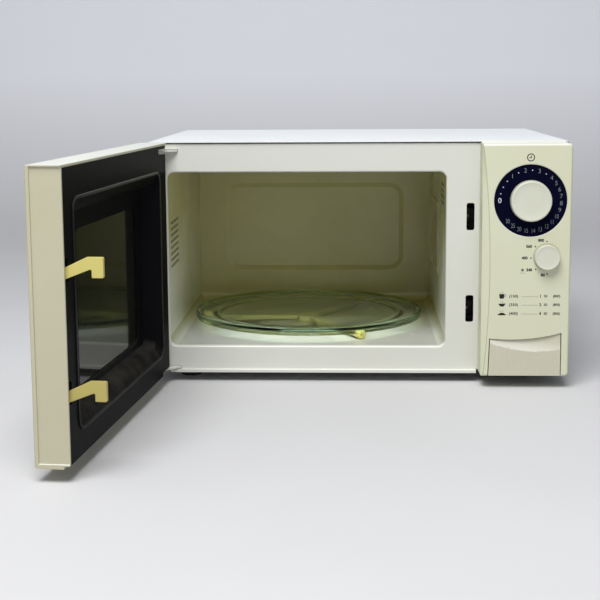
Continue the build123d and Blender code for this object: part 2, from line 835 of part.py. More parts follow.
# Control panel moulding
with BuildPart() as control_panel:
    block((panel_left, panel_right), (panel_front, front_y), (base_z, panel_top))
    fillet(control_panel.edges().filter_by(Axis.Y).group_by(Axis.X)[-1], panel_corner)
    front_rim = control_panel.edges().group_by(Axis.Y)[0]
    fillet(front_rim.filter_by(Axis.Z).sort_by(Axis.X)[-1:], panel_edge)
    hollow_x = (panel_left + panel_wall, panel_right - panel_wall)
    hollow_z = (base_z + panel_wall, panel_top - panel_wall)
    block(hollow_x, (panel_inside, front_y), hollow_z, Mode.SUBTRACT)
    # the side walls reach past the cover's edge to the front plate
    block((panel_left, panel_left + panel_wall), (front_y, plate_y), (base_z, panel_top))
    right_z = (base_z + panel_corner, panel_top - panel_corner)
    block((panel_right - panel_wall, panel_right), (front_y, plate_y), right_z)
    # a shallow curved crease runs down the left edge of the face
    crease_sections = []
    crease_ends = ((0, crease_bulge, crease_foot), (crease_depth, 2 * crease_end_width, crease_end_width))
    for depth, bulge, foot in crease_ends:
        with BuildSketch(Plane.XZ.offset(-(panel_front + depth)), mode=Mode.PRIVATE) as crease:
            with BuildLine():
                low = (panel_left + foot, base_z - crease_overrun)
                high = (panel_left + crease_end_width / 2, panel_top + crease_overrun)
                edge = panel_left - crease_overrun
                ThreePointArc(low, (panel_left + bulge, base_z + crease_bulge_rise), high)
                Polyline(high, (edge, high[1]), (edge, low[1]), low)
            make_face()
        crease_sections.append(crease.sketch.face())
    loft(crease_sections, ruled=True, mode=Mode.SUBTRACT)
    recess_radius = scale_outer_radius + peg_fit
    rod((timer_x, panel_front, timer_z), (0, 1, 0), scale_recess, recess_radius, Mode.SUBTRACT)
    with Locations(Plane(origin=(timer_x, panel_front, timer_z), z_dir=(0, 1, 0))):
        Cone(recess_radius + scale_bevel, recess_radius, scale_bevel,
             align=(Align.CENTER, Align.CENTER, Align.MIN), mode=Mode.SUBTRACT)
    for x, z, reach in ((timer_x, timer_z, timer_unit_size), (power_x, power_z, power_unit_size)):
        rod((x, panel_front, z), (0, 1, 0), panel_wall, stem_hole_radius, Mode.SUBTRACT)
        for corner_x in (-1, 1):
            for corner_z in (-1, 1):
                boss_x = x + corner_x * (reach / 2 - boss_radius)
                boss_z = z + corner_z * (reach / 2 - boss_radius)
                rod((boss_x, panel_inside, boss_z), (0, 1, 0), boss_height, boss_radius)
    # the button's aperture is open at the bottom
    aperture_left = panel_left + button_left_foot
    aperture_right = half_width - button_right_inset
    aperture_corner = (panel_left + button_left_top, base_z + button_left_height)
    dip_x = aperture_left + (aperture_right - aperture_left) * button_dip_share
    with BuildSketch(Plane.XZ.offset(-panel_front)):
        with BuildLine():
            right_corner = (aperture_right, base_z + button_right_height)
            ThreePointArc(aperture_corner, (dip_x, base_z + button_dip_height), right_corner)
            Polyline(right_corner, (aperture_right, base_z), (aperture_left, base_z), aperture_corner)
        make_face()
    extrude(amount=-panel_depth, mode=Mode.SUBTRACT)
keep(control_panel, "control_panel")

# Timer scale: a flat ring let into the panel's face
with BuildPart() as timer_scale_ring:
    scale_back = panel_front + scale_recess
    rod((timer_x, scale_back, timer_z), (0, -1, 0), scale_thickness, scale_outer_radius)
    rod((timer_x, scale_back, timer_z), (0, -1, 0), scale_thickness, scale_inner_radius, Mode.SUBTRACT)
keep(timer_scale_ring, "timer_scale_ring")

# Timer unit and power selector on the panel's bosses
units = {
    "timer_unit": (timer_x, timer_z, timer_unit_size, timer_unit_depth, timer_unit_margin),
    "power_selector": (power_x, power_z, power_unit_size, power_unit_depth, power_unit_margin),
}
for name, (x, z, size, depth, margin) in units.items():
    with BuildPart() as dial_unit:
        plate_size = size + 2 * margin
        block(around(x, plate_size), (unit_front, unit_front + unit_plate), around(z, plate_size))
        block(around(x, size), (unit_front + unit_plate, unit_front + unit_plate + depth), around(z, size))
        bore_depth = stem_depth + stem_clearance
        rod((x, unit_front, z), (0, 1, 0), bore_depth, stem_radius + stem_clearance, Mode.SUBTRACT)
    keep(dial_unit, name)

# Knobs with their stems
knob_foot = panel_front + scale_recess - scale_thickness - knob_clearance
knobs = {
    "timer_knob": (timer_x, timer_z, timer_knob_radius, timer_knob_height, timer_knob_edge, knob_foot),
    "power_knob": (power_x, power_z, power_knob_radius, power_knob_height, power_knob_edge,
                   panel_front - knob_clearance),
}
for name, (x, z, radius, height, edge, foot) in knobs.items():
    with BuildPart() as knob:
        rod((x, foot, z), (0, -1, 0), height, radius)
        fillet(knob.edges().filter_by(GeomType.CIRCLE).sort_by(Axis.Y)[0], edge)
        rod((x, foot, z), (0, 1, 0), unit_front + stem_depth - foot, stem_radius)
    keep(knob, name)

# Opening button: a hollow key with a finger scoop, two pegs and a spring boss
with BuildPart() as open_button:
    with BuildSketch(Plane.XZ.offset(-panel_front)) as key_outline:
        with BuildLine():
            key_left = aperture_left + button_gap
            key_right = aperture_right - button_gap
            key_bottom = base_z + button_gap / 2
            key_corner = (aperture_corner[0] + button_gap, aperture_corner[1] - button_gap)
            key_dip = (dip_x, base_z + button_dip_height - button_gap)
            key_top = (key_right, base_z + button_right_height - button_gap)
            ThreePointArc(key_corner, key_dip, key_top)
            Polyline(key_top, (key_right, key_bottom), (key_left, key_bottom), key_corner)
        make_face()
    extrude(amount=-button_depth)
    with BuildSketch(Plane.XZ.offset(-(panel_front + button_face))):
        add(offset(key_outline.sketch.face(), -button_wall, mode=Mode.PRIVATE))
    extrude(amount=-(button_depth - button_face), mode=Mode.SUBTRACT)
    # the scoop is a spindle-shaped trough: it deepens from a slanted crease and runs out at both ends
    crease_start = Vector(key_left, panel_front, base_z + scoop_left_height)
    crease_end = Vector(key_right, panel_front, base_z + scoop_right_height)
    along = (crease_end - crease_start).normalized()
    upward = Vector(-along.Z, 0, along.X)
    scoop_stand = sqrt(scoop_radius**2 - scoop_half_chord**2)
    scoop_middle = crease_start + (crease_end - crease_start) * scoop_middle_share
    scoop_middle += upward * scoop_half_chord - Vector(0, scoop_stand, 0)
    with BuildSketch(Plane(origin=scoop_middle, x_dir=along, z_dir=upward)):
        with BuildLine():
            left_end = (-scoop_left_run, scoop_stand)
            right_end = (scoop_right_run, scoop_stand)
            ThreePointArc(left_end, (0, scoop_radius), right_end)
            Polyline(right_end, (scoop_right_run, 0), (-scoop_left_run, 0), left_end)
        make_face()
    revolve(axis=Axis(scoop_middle, along), mode=Mode.SUBTRACT)
    rod((push_peg_x, panel_front + button_face, peg_z), (0, 1, 0), button_depth - button_face, peg_boss_radius)
    rod((guide_peg_x, panel_front + button_face, peg_z), (0, 1, 0), button_depth - button_face, peg_boss_radius)
    rod((push_peg_x, button_back, peg_z), (0, 1, 0), push_peg_tip - button_back, peg_radius)
    rod((guide_peg_x, button_back, peg_z), (0, 1, 0), push_peg_tip - button_back, peg_radius)
    spring_x = (push_peg_x + guide_peg_x) / 2
    spring_z = base_z + button_spring_rise
    spring_boss_y = panel_front + button_face
    rod((spring_x, spring_boss_y, spring_z), (0, 1, 0), button_spring_boss,
        button_spring_radius + button_spring_seat)
keep(open_button, "open_button")

# Button spring between the boss and the front plate
spring_room = plate_y - spring_seat_y
with BuildPart() as button_spring:
    with BuildLine() as button_coil:
        seat = Plane(origin=(spring_x, spring_seat_y + button_spring_wire, spring_z), z_dir=(0, 1, 0))
        coil_line(seat, button_spring_radius, spring_room - 2 * button_spring_wire, button_spring_turns)
    with BuildSketch(Plane(origin=button_coil.line @ 0, z_dir=button_coil.line % 0)):
        Circle(button_spring_wire)
    sweep()
keep(button_spring, "button_spring")
print("button spring gap", spring_room / button_spring_turns - 2 * button_spring_wire)

# Latch board: a side plate with two catches, a slotted flange and the lever's bearing
with BuildPart() as latch_board:
    board_z = (board_bottom, board_top)
    block((board_left, board_right), (plate_back, switch_back), board_z)
    block(around(slot_x, 2 * board_half_flange), (plate_back, plate_back + board_flange), board_z)
    for tip in hook_tips:
        slot_z = (tip - slot_drop - board_slot_margin, tip - slot_drop + slot_height + board_slot_margin)
        wide_slot = around(slot_x, slot_width + 2 * board_slot_margin)
        block(wide_slot, (plate_back, plate_back + board_flange), slot_z, Mode.SUBTRACT)
        catch_back = hook_end_y - hook_head - catch_gap
        catch_top = tip + catch_rise
        catch_x = (bar_left - board_slot_margin, board_left)
        block(catch_x, (catch_back - catch_depth, catch_back), (catch_top - catch_height, catch_top))
    bearing = (board_left, lever_y, lever_z)
    rod(bearing, (1, 0, 0), board_plate, lever_radius + lever_fit, Mode.SUBTRACT)
keep(latch_board, "latch_board")

# Interlock switches beside the board, and their plungers in line with the hooks
switch_x = (latch_x - latch_thickness, board_left)
for name, tip in zip(("secondary", "primary"), hook_tips):
    plunger_z = tip + hook_height / 2
    with BuildPart() as interlock_switch:
        block(switch_x, (switch_front, switch_back), around(plunger_z, switch_height))
        bore_length = plunger_tail + plunger_travel + plunger_gap
        bore_start = (latch_x, switch_front, plunger_z)
        rod(bore_start, (0, 1, 0), bore_length, plunger_radius + plunger_fit, Mode.SUBTRACT)
    keep(interlock_switch, name + "_interlock_switch")
    with BuildPart() as plunger:
        plunger_length = switch_front + plunger_tail - plunger_front
        rod((latch_x, plunger_front, plunger_z), (0, 1, 0), plunger_length, plunger_radius)
    keep(plunger, name + "_plunger")

# Opening lever: a cross shaft with a push arm behind the button and a finger under the lower hook
with BuildPart() as open_lever:
    lever_left = bar_left - lever_fit
    lever_right = push_peg_x + lever_arm_half_width
    rod((lever_left, lever_y, lever_z), (1, 0, 0), lever_right - lever_left, lever_radius)
    arm_y = around(lever_y, 2 * lever_half_thickness)
    block(around(push_peg_x, 2 * lever_arm_half_width), arm_y, (lever_z - lever_arm, lever_z))
    finger_z = around(lever_z, 2 * lever_half_thickness)
    block((bar_left, bar_right), (lever_y, lever_y + lever_finger), finger_z)
keep(open_lever, "open_lever")

# Door shell: a moulded tray with the outer window's aperture, stops for the latch and frame bosses
pocket_low = lower_bracket_bottom - hinge_pocket_gap
pocket_high = upper_bracket_top + hinge_pocket_gap
hinge_pockets = (
    (pocket_low, lower_bracket_top + hinge_pocket_gap),
    (upper_bracket_bottom - hinge_pocket_gap, pocket_high),
)
pocket_x = (door_left - door_wall, bracket_slot_x[1] + hinge_pocket_gap)
pocket_y = (hinge_y - bracket_nose - sheet, door_inner + door_wall)
latch_rest = bar_bottom - latch_seat_gap
latch_cap = bar_top + latch_spring_length
with BuildPart() as door_shell:
    block((door_left, door_right), (door_outer, door_inner), (door_bottom, door_top))
    outer_rim = door_shell.edges().group_by(Axis.Y)[0]
    fillet(outer_rim, door_edge)
    inner_corner = door_shell.edges().filter_by(Axis.Z).group_by(Axis.X)[0].sort_by(Axis.Y)[-1]
    chamfer(inner_corner, door_hinge_chamfer)
    tray_x = (shell_inside_left, shell_inside_right)
    block(tray_x, (shell_inside_front, door_inner), (shell_inside_bottom, shell_inside_top), Mode.SUBTRACT)
    window_span = (door_outer, shell_inside_front)
    outer_window_x = around(window_x, outer_window_width)
    outer_window_z = around(window_z, outer_window_height)
    facing(outer_window_x, outer_window_z, window_span, outer_window_corner, Mode.SUBTRACT)
    # the inner edge at the foot is raised so that the door clears the ledge of the front plate
    step_y = (door_inner - door_foot_depth, door_inner)
    block((door_left, door_right), step_y, (door_bottom, door_bottom + door_foot_step), Mode.SUBTRACT)
    hinge_side = (door_left, shell_inside_left)
    block(hinge_side, (door_inner - door_hinge_setback, door_inner), (door_bottom, shell_inside_top),
          Mode.SUBTRACT)
    # the free edge is a panel sunk behind a narrow lip
    pocket_span = (door_outer + edge_pocket_front, door_inner)
    sunk_z = (door_bottom + edge_pocket_bottom, door_top - edge_pocket_top)
    block((door_right - edge_pocket_depth, door_right), pocket_span, sunk_z, Mode.SUBTRACT)
    for pocket_z in hinge_pockets:
        block(pocket_x, pocket_y, pocket_z, Mode.SUBTRACT)
    bar_guide = (choke_right, shell_inside_right)
    bar_span = (shell_inside_front, bar_back)
    block(bar_guide, bar_span, (latch_rest - latch_stop, latch_rest))
    block(bar_guide, bar_span, (latch_cap, latch_cap + latch_stop))
    for x in (shell_inside_left + frame_boss_inset, choke_right - frame_boss_inset):
        for z in (choke_bottom + frame_boss_radius, choke_top - frame_boss_radius):
            rod((x, shell_inside_front, z), (0, 1, 0), frame_back - shell_inside_front, frame_boss_radius)
keep(door_shell, "door_shell", door_rest_angle)

# Outer window behind the shell's aperture
with BuildPart() as outer_window:
    pane_x = around(window_x, outer_window_width + 2 * pane_overlap)
    pane_z = around(window_z, outer_window_height + 2 * pane_overlap)
    pane_span = (shell_inside_front, shell_inside_front + outer_pane)
    facing(pane_x, pane_z, pane_span, outer_window_corner)
keep(outer_window, "outer_window", door_rest_angle)

# Steel door frame: a plate with the choke wall round it and two ears that turn on the hinge pins
screen_center = (door_right - inner_window_inset, door_bottom + inner_window_rise)
inner_window_x = around(screen_center[0], inner_window_width)
inner_window_z = around(screen_center[1], inner_window_height)
ears = (
    (lower_bracket_top + ear_running_gap, lower_bracket_top + ear_running_gap + ear_thickness),
    (upper_bracket_bottom - ear_upper_gap - ear_thickness, upper_bracket_bottom - ear_upper_gap),
)
with BuildPart() as door_frame:
    frame_span = (frame_back, frame_front)
    frame_left = hinge_x - ear_half_width
    block((frame_left, choke_right), frame_span, (choke_bottom, choke_top))
    wall_y = (frame_front, cover_back)
    block((choke_left, choke_right), wall_y, (choke_bottom, choke_top))
    well_x = (choke_left + sheet, choke_right - sheet)
    block(well_x, wall_y, (choke_bottom + sheet, choke_top - sheet), Mode.SUBTRACT)
    facing(inner_window_x, inner_window_z, frame_span, inner_window_corner, Mode.SUBTRACT)
    for low, high in ears:
        ear_x = (frame_left, choke_left + sheet)
        block(ear_x, (frame_front, hinge_y + ear_half_width), (low, high))
        block(ear_x, frame_span, sorted((low, choke_bottom if low < bead_z else choke_top)))
        block(ear_x, frame_span, (low, high))
        rod((hinge_x, hinge_y, low), (0, 0, 1), high - low, pin_radius + pin_fit, Mode.SUBTRACT)
keep(door_frame, "door_frame", door_rest_angle)

# Perforated screen behind the frame's window
with BuildPart() as window_screen:
    screen_x = around(screen_center[0], inner_window_width + 2 * pane_overlap)
    screen_z = around(screen_center[1], inner_window_height + 2 * pane_overlap)
    facing(screen_x, screen_z, (frame_back - screen_thickness, frame_back), inner_window_corner)
    columns = int(inner_window_width / screen_hole_pitch) - 1
    rows = int(inner_window_height / screen_hole_pitch) - 1
    with BuildSketch(Plane.XZ.offset(-frame_back)):
        with Locations(screen_center):
            with GridLocations(screen_hole_pitch, screen_hole_pitch, columns, rows):
                Circle(screen_hole_radius)
    extrude(amount=screen_thickness, mode=Mode.SUBTRACT)
keep(window_screen, "window_screen", door_rest_angle)

# Inner window between the frame and the choke cover
with BuildPart() as inner_window:
    facing(screen_x, screen_z, (frame_front, pane_y), inner_window_corner)
keep(inner_window, "inner_window", door_rest_angle)

# Choke cover: a flat border, a raised bead, a sloping brow and a funnel down to the inner window
cover_left = hinge_x - cover_hinge_gap
cover_bottom = door_bottom + door_foot_step
bead_x = door_right - window_center_inset
funnel_width = bead_width_x - 2 * bead_rib
funnel_height = bead_width_z - 2 * bead_rib
with BuildPart() as choke_cover:
    block((cover_left, shell_inside_right), (cover_back, door_inner), (cover_bottom, shell_inside_top))
    facing(around(bead_x, bead_width_x), around(bead_z, bead_width_z), (door_inner, door_inner + bead_height),
           bead_corner)
    bead_rim = choke_cover.edges().group_by(Axis.Y)[-1]
    fillet(bead_rim, bead_round)
    mouth_corner = bead_corner - bead_rib
    for spread, mode in ((recess_floor, Mode.ADD), (0, Mode.SUBTRACT)):
        wide = funnel_width + 2 * spread
        tall = funnel_height + 2 * spread
        mouth = (door_inner - spread, wide, tall, mouth_corner + spread)
        brow_y = door_inner - brow_depth - spread
        brow = (brow_y, wide - 2 * brow_run, tall - 2 * brow_run, brow_corner + spread)
        slope = 2 * recess_slope
        bottom = (recess_y - spread, wide - slope, tall - slope, floor_corner + spread)
        tapered(bead_x, bead_z, (mouth, brow), mode)
        tapered(bead_x, bead_z, (brow, bottom), mode)
    bead_span = (door_inner, door_inner + bead_height)
    mouth_x = around(bead_x, funnel_width)
    facing(mouth_x, around(bead_z, funnel_height), bead_span, mouth_corner, Mode.SUBTRACT)
    facing(inner_window_x, inner_window_z, (pane_y, recess_y), inner_window_corner, Mode.SUBTRACT)
    for pocket_z in hinge_pockets:
        block(pocket_x, (cover_back, door_inner), pocket_z, Mode.SUBTRACT)
    for tip in hook_tips:
        hole_z = (tip - hook_root_drop - latch_clearance, tip + hook_arm + latch_travel + latch_clearance)
        hole_x = (bar_left - latch_clearance, shell_inside_right)
        block(hole_x, (cover_back, door_inner), hole_z, Mode.SUBTRACT)
keep(choke_cover, "choke_cover", door_rest_angle)

# Latch head: an upright bar with two hooks that point down
with BuildPart() as latch_head:
    block((bar_left, bar_right), (bar_front, bar_back), (bar_bottom, bar_top))
    for tip in hook_tips:
        with BuildSketch(Plane.YZ.offset(bar_left)) as hook:
            head_y = hook_end_y - hook_head
            with BuildLine():
                Polyline(
                    (bar_back, tip - hook_root_drop),
                    (head_y - hook_throat / 4, tip + hook_throat),
                    (head_y, tip + hook_throat),
                    (head_y, tip),
                    (hook_end_y, tip),
                    (hook_end_y, tip + hook_height),
                    (hook_end_y - hook_crown, tip + hook_height),
                    (bar_back, tip + hook_arm - hook_root_drop),
                    close=True,
                )
            make_face()
            fillet(hook.vertices().group_by(Axis.X)[-2], hook_throat_round)
            fillet(hook.vertices().group_by(Axis.X)[-1], hook_round)
        extrude(amount=latch_thickness)
keep(latch_head, "latch_head", door_rest_angle)

# Latch spring between the bar and its upper stop
with BuildPart() as latch_spring:
    spring_y = (bar_front + bar_back) / 2
    with BuildLine() as latch_coil:
        seat = Plane(origin=(latch_x, spring_y, bar_top + latch_spring_wire), z_dir=(0, 0, 1))
        coil_line(seat, latch_spring_radius, latch_spring_length - 2 * latch_spring_wire, latch_spring_turns)
    with BuildSketch(Plane(origin=latch_coil.line @ 0, z_dir=latch_coil.line % 0)):
        Circle(latch_spring_wire)
    sweep()
keep(latch_spring, "latch_spring", door_rest_angle)
print("latch spring gap", latch_spring_length / latch_spring_turns - 2 * latch_spring_wire)

# Turntable: motor under the floor, drive coupler, roller support, rollers and glass tray
with BuildPart() as turntable_motor:
    motor_top = cavity_floor_z - sheet
    motor_base = (turntable_x, cavity_mid_y, motor_top - turntable_motor_height)
    rod(motor_base, (0, 0, 1), turntable_motor_height, turntable_motor_radius)
    ear_y = around(cavity_mid_y, turntable_motor_radius / 2)
    block(around(turntable_x, 2 * turntable_motor_ear), ear_y, (motor_top - sheet, motor_top))
    bore_start = (turntable_x, cavity_mid_y, motor_top)
    rod(bore_start, (0, 0, -1), motor_shaft_length, motor_shaft_radius + motor_shaft_fit, Mode.SUBTRACT)
keep(turntable_motor, "turntable_motor")

with BuildPart() as drive_coupler:
    coupler_foot = (turntable_x, cavity_mid_y, coupler_bottom)
    rod(coupler_foot, (0, 0, 1), coupler_top - coupler_bottom, coupler_radius)
    rod(coupler_foot, (0, 0, -1), motor_shaft_length - coupler_gap, motor_shaft_radius)
keep(drive_coupler, "drive_coupler")

with BuildPart() as roller_support:
    hub_bottom = cavity_floor_z + support_hub_gap
    hub_base = (turntable_x, cavity_mid_y, hub_bottom)
    rod(hub_base, (0, 0, 1), tray_bottom - hub_bottom, support_hub_radius)
    for angle in roller_angles.values():
        arm_middle = Plane(origin=(turntable_x, cavity_mid_y, tray_bottom - support_arm_thickness),
                           x_dir=(cos(angle * pi / 180), sin(angle * pi / 180), 0))
        with Locations(arm_middle):
            Box(support_arm_end, support_arm_width, support_arm_thickness,
                align=(Align.MIN, Align.CENTER, Align.MIN))
        outward = Vector(cos(angle * pi / 180), sin(angle * pi / 180), 0)
        axle_root = Vector(turntable_x, cavity_mid_y, roller_z) + outward * (support_arm_end - axle_radius)
        rod(axle_root, outward, roller_end + roller_side_gap - support_arm_end + axle_radius, axle_radius)
    socket_height = coupler_top + coupler_fit - hub_bottom
    rod(hub_base, (0, 0, 1), socket_height, coupler_radius + coupler_fit, Mode.SUBTRACT)
keep(roller_support, "roller_support")

for name, angle in roller_angles.items():
    outward = Vector(cos(angle * pi / 180), sin(angle * pi / 180), 0)
    with BuildPart() as roller:
        roller_root = Vector(turntable_x, cavity_mid_y, roller_z) + outward * roller_start
        rod(roller_root, outward, roller_width, roller_radius)
        rod(roller_root, outward, roller_width, axle_radius + axle_fit, Mode.SUBTRACT)
    keep(roller, name)

with BuildPart() as glass_tray:
    rim_top = cavity_floor_z + tray_rim_top
    rim_low = rim_top - tray_rim_thickness
    bead_low = rim_low - tray_bead_drop
    with BuildSketch(Plane.XZ.offset(-cavity_mid_y)) as tray_profile:
        with BuildLine():
            Polyline(
                (turntable_x, tray_bottom),
                (turntable_x + tray_flat_radius, tray_bottom),
                (turntable_x + tray_rim_inner, rim_low),
                (turntable_x + tray_bead_inner, rim_low),
                (turntable_x + tray_bead_inner, bead_low),
                (turntable_x + tray_radius, bead_low),
                (turntable_x + tray_radius, rim_top),
                (turntable_x + tray_radius - tray_rim_thickness, rim_top),
                (turntable_x + tray_flat_radius, tray_bottom + tray_glass),
                (turntable_x, tray_bottom + tray_glass),
                close=True,
            )
        make_face()
        rim_corners = tray_profile.vertices().group_by(Axis.X)[-1]
        fillet(rim_corners, tray_rim_round)
    revolve(axis=Axis((turntable_x, cavity_mid_y, 0), (0, 0, 1)))
keep(glass_tray, "glass_tray")

# Waveguide on the right wall, its cover inside the cavity, and the magnetron
with BuildPart() as waveguide:
    guide_x = (right_wall_back, magnetron_x)
    guide_y = around(port_y, waveguide_length)
    guide_z = around(port_z, waveguide_height)
    block(guide_x, guide_y, guide_z)
    duct_y = (guide_y[0] + waveguide_wall, guide_y[1] - waveguide_wall)
    duct_z = (guide_z[0] + waveguide_wall, guide_z[1] - waveguide_wall)
    block((right_wall_back, magnetron_x - waveguide_wall), duct_y, duct_z, Mode.SUBTRACT)
    antenna_hole = (magnetron_x - waveguide_wall, port_y, port_z)
    rod(antenna_hole, (1, 0, 0), waveguide_wall, antenna_port_radius, Mode.SUBTRACT)
keep(waveguide, "waveguide")

with BuildPart() as waveguide_cover:
    cover_span = (cavity_right - port_cover_thickness, cavity_right)
    block(cover_span, around(port_y, port_cover_length), around(port_z, port_cover_height))
keep(waveguide_cover, "waveguide_cover")

with BuildPart() as magnetron_yoke:
    yoke_y = around(port_y, magnetron_width)
    yoke_z = around(port_z, magnetron_height)
    block((magnetron_x, magnetron_end), yoke_y, yoke_z)
    inside_x = (magnetron_x + magnetron_plate, magnetron_end - magnetron_plate)
    inside_z = (yoke_z[0] + magnetron_plate, yoke_z[1] - magnetron_plate)
    block(inside_x, yoke_y, inside_z, Mode.SUBTRACT)
    filter_x = (magnetron_end, magnetron_end + filter_box_depth)
    block(filter_x, around(port_y, filter_box_size), around(port_z, filter_box_size))
    antenna_start = (magnetron_x, port_y, port_z)
    rod(antenna_start, (1, 0, 0), magnetron_plate, antenna_radius + antenna_clearance, Mode.SUBTRACT)
keep(magnetron_yoke, "magnetron_yoke")

with BuildPart() as magnetron_anode:
    rod((inside_x[0], port_y, port_z), (1, 0, 0), magnetron_length, anode_radius)
    fin_step = magnetron_length / (fin_count + 1)
    fin_y = around(port_y, magnetron_width - 2 * fin_margin)
    fin_z = (inside_z[0] + fin_margin, inside_z[1] - fin_margin)
    for i in range(fin_count):
        block(around(inside_x[0] + (i + 1) * fin_step, fin_thickness), fin_y, fin_z)
    rod((inside_x[0], port_y, port_z), (-1, 0, 0), antenna_length, antenna_radius)
keep(magnetron_anode, "magnetron_anode")

# Transformer: a laminated core with a window on each side of the middle leg, and two windings
core_x = right_wall_back + transformer_x
core_y = plate_back + transformer_y
window_width = (core_width - 4 * core_leg) / 2
with BuildPart() as transformer_core:
    block(around(core_x, core_width), around(core_y, core_stack), (base_top, base_top + core_height))
    for side in (-1, 1):
        window_middle = core_x + side * (core_leg + window_width / 2)
        window_span = (base_top + core_yoke, base_top + core_height - core_yoke)
        block(around(window_middle, window_width), around(core_y, core_stack), window_span, Mode.SUBTRACT)
keep(transformer_core, "transformer_core")

with BuildPart() as transformer_windings:
    leg_width = 2 * core_leg + 2 * winding_gap
    leg_stack = core_stack + 2 * winding_gap
    winding_low = base_top + core_yoke
    winding_high = base_top + core_height - core_yoke - winding_height
    for low in (winding_low, winding_high):
        winding_z = (low, low + winding_height)
        wound_x = around(core_x, leg_width + 2 * winding_build)
        block(wound_x, around(core_y, leg_stack + 2 * winding_build), winding_z)
        block(around(core_x, leg_width), around(core_y, leg_stack), winding_z, Mode.SUBTRACT)
keep(transformer_windings, "transformer_windings")

# Capacitor lying on the base plate, with its two terminals, and the diode beside it
cap_y = plate_back + capacitor_y
with BuildPart() as hv_capacitor:
    cap_span = around(core_x, capacitor_length)
    with BuildSketch(Plane.YZ.offset(cap_span[0])):
        with Locations((cap_y, base_top + capacitor_height / 2)):
            RectangleRounded(capacitor_width, capacitor_height, capacitor_corner)
    extrude(amount=capacitor_length)
    for side in (-1, 1):
        terminal_y = cap_y + side * terminal_spacing / 2
        terminal_start = (cap_span[1], terminal_y, base_top + capacitor_height / 2)
        rod(terminal_start, (1, 0, 0), terminal_height, terminal_radius)
keep(hv_capacitor, "hv_capacitor")

with BuildPart() as hv_diode:
    diode_y = cap_y - capacitor_width / 2 - diode_gap
    block(around(core_x, diode_length), around(diode_y, diode_size), (base_top, base_top + diode_size))
keep(hv_diode, "hv_diode")

# Cooling fan: shroud on the rear panel, motor on its arms, and the fan on its shaft
with BuildPart() as fan_shroud:
    ring_inner = fan_radius + shroud_gap
    rod((fan_x, shroud_front, fan_z), (0, 1, 0), shroud_depth, ring_inner + shroud_wall)
    rod((fan_x, shroud_front, fan_z), (0, 1, 0), shroud_depth, ring_inner, Mode.SUBTRACT)
    with BuildSketch(Plane.XZ.offset(-(shroud_front + shroud_arm_thickness))):
        with Locations((fan_x, fan_z)):
            with PolarLocations(0, 3, start_angle=90):
                Rectangle(ring_inner + shroud_wall / 2, shroud_arm_width, align=(Align.MIN, Align.CENTER))
            Circle(fan_motor_radius)
            Circle(fan_shaft_radius * 3, mode=Mode.SUBTRACT)
    extrude(amount=shroud_arm_thickness)
keep(fan_shroud, "fan_shroud")

with BuildPart() as fan_motor:
    motor_front = shroud_front - fan_motor_length
    rod((fan_x, motor_front, fan_z), (0, 1, 0), fan_motor_length, fan_motor_radius)
    bore_start = (fan_x, shroud_front, fan_z)
    rod(bore_start, (0, -1, 0), fan_shaft_end + fan_shaft_fit, fan_shaft_radius + fan_shaft_fit, Mode.SUBTRACT)
keep(fan_motor, "fan_motor")

with BuildPart() as fan_shaft:
    shaft_start = (fan_x, shroud_front - fan_shaft_end, fan_z)
    rod(shaft_start, (0, 1, 0), fan_back - shroud_front + fan_shaft_end, fan_shaft_radius)
keep(fan_shaft, "fan_shaft")

with BuildPart() as cooling_fan:
    rod((fan_x, fan_front, fan_z), (0, 1, 0), fan_depth, fan_hub_radius)
    for i in range(fan_blade_count):
        turn = 2 * pi * i / fan_blade_count
        outward = Vector(cos(turn), 0, sin(turn))
        root = Vector(fan_x, (fan_front + fan_back) / 2, fan_z) + outward * (fan_hub_radius - fan_blade_root)
        with Locations(Plane(origin=root, x_dir=outward, z_dir=(0, 1, 0))):
            Box(fan_radius - fan_hub_radius, fan_blade_width, fan_blade_thickness,
                rotation=(fan_blade_pitch, 0, 0), align=(Align.MIN, Align.CENTER, Align.CENTER))
    rod((fan_x, fan_front, fan_z), (0, 1, 0), fan_depth, fan_shaft_radius, Mode.SUBTRACT)
keep(cooling_fan, "cooling_fan")

# Oven lamp beside the perforated patch of the right wall
bulb_x = right_wall_back + lamp_stand_off
socket_start = lamp_y + lamp_hole_columns * wall_hole_pitch / 2
with BuildPart() as lamp_holder:
    rod((bulb_x, socket_start, lamp_z), (0, 1, 0), lamp_socket_length, lamp_socket_radius)
    foot_y = (socket_start, socket_start + lamp_socket_length)
    block((right_wall_back, right_wall_back + lamp_foot), foot_y, around(lamp_z, 2 * lamp_socket_radius))
    block((right_wall_back, bulb_x), foot_y, around(lamp_z, lamp_socket_radius))
keep(lamp_holder, "lamp_holder")

with BuildPart() as oven_lamp:
    rod((bulb_x, socket_start, lamp_z), (0, -1, 0), lamp_length, lamp_radius)
    fillet(oven_lamp.edges().filter_by(GeomType.CIRCLE).sort_by(Axis.Y)[0], lamp_tip_round)
keep(oven_lamp, "oven_lamp")

# Mains filter board on standoffs behind the fan's upper edge
with BuildPart() as filter_board:
    board_back = rear_front - standoff_length
    board_mid_z = top_z - filter_board_drop
    board_y = (board_back - filter_board_thickness, board_back)
    block(around(fan_x, filter_board_width), board_y, around(board_mid_z, filter_board_height))
    for corner_x in (-1, 1):
        for corner_z in (-1, 1):
            post_x = fan_x + corner_x * (filter_board_width / 2 - 2 * standoff_radius)
            post_z = board_mid_z + corner_z * (filter_board_height / 2 - 2 * standoff_radius)
            rod((post_x, board_back, post_z), (0, 1, 0), standoff_length, standoff_radius)
    rod((fan_x, board_y[0], board_mid_z), (0, -1, 0), lamp_radius, filter_board_height / 4)
    block(around(fan_x + filter_board_width / 3, 2 * diode_size), (board_y[0] - diode_size, board_y[0]),
          around(board_mid_z, filter_board_height / 2))
keep(filter_board, "filter_board")

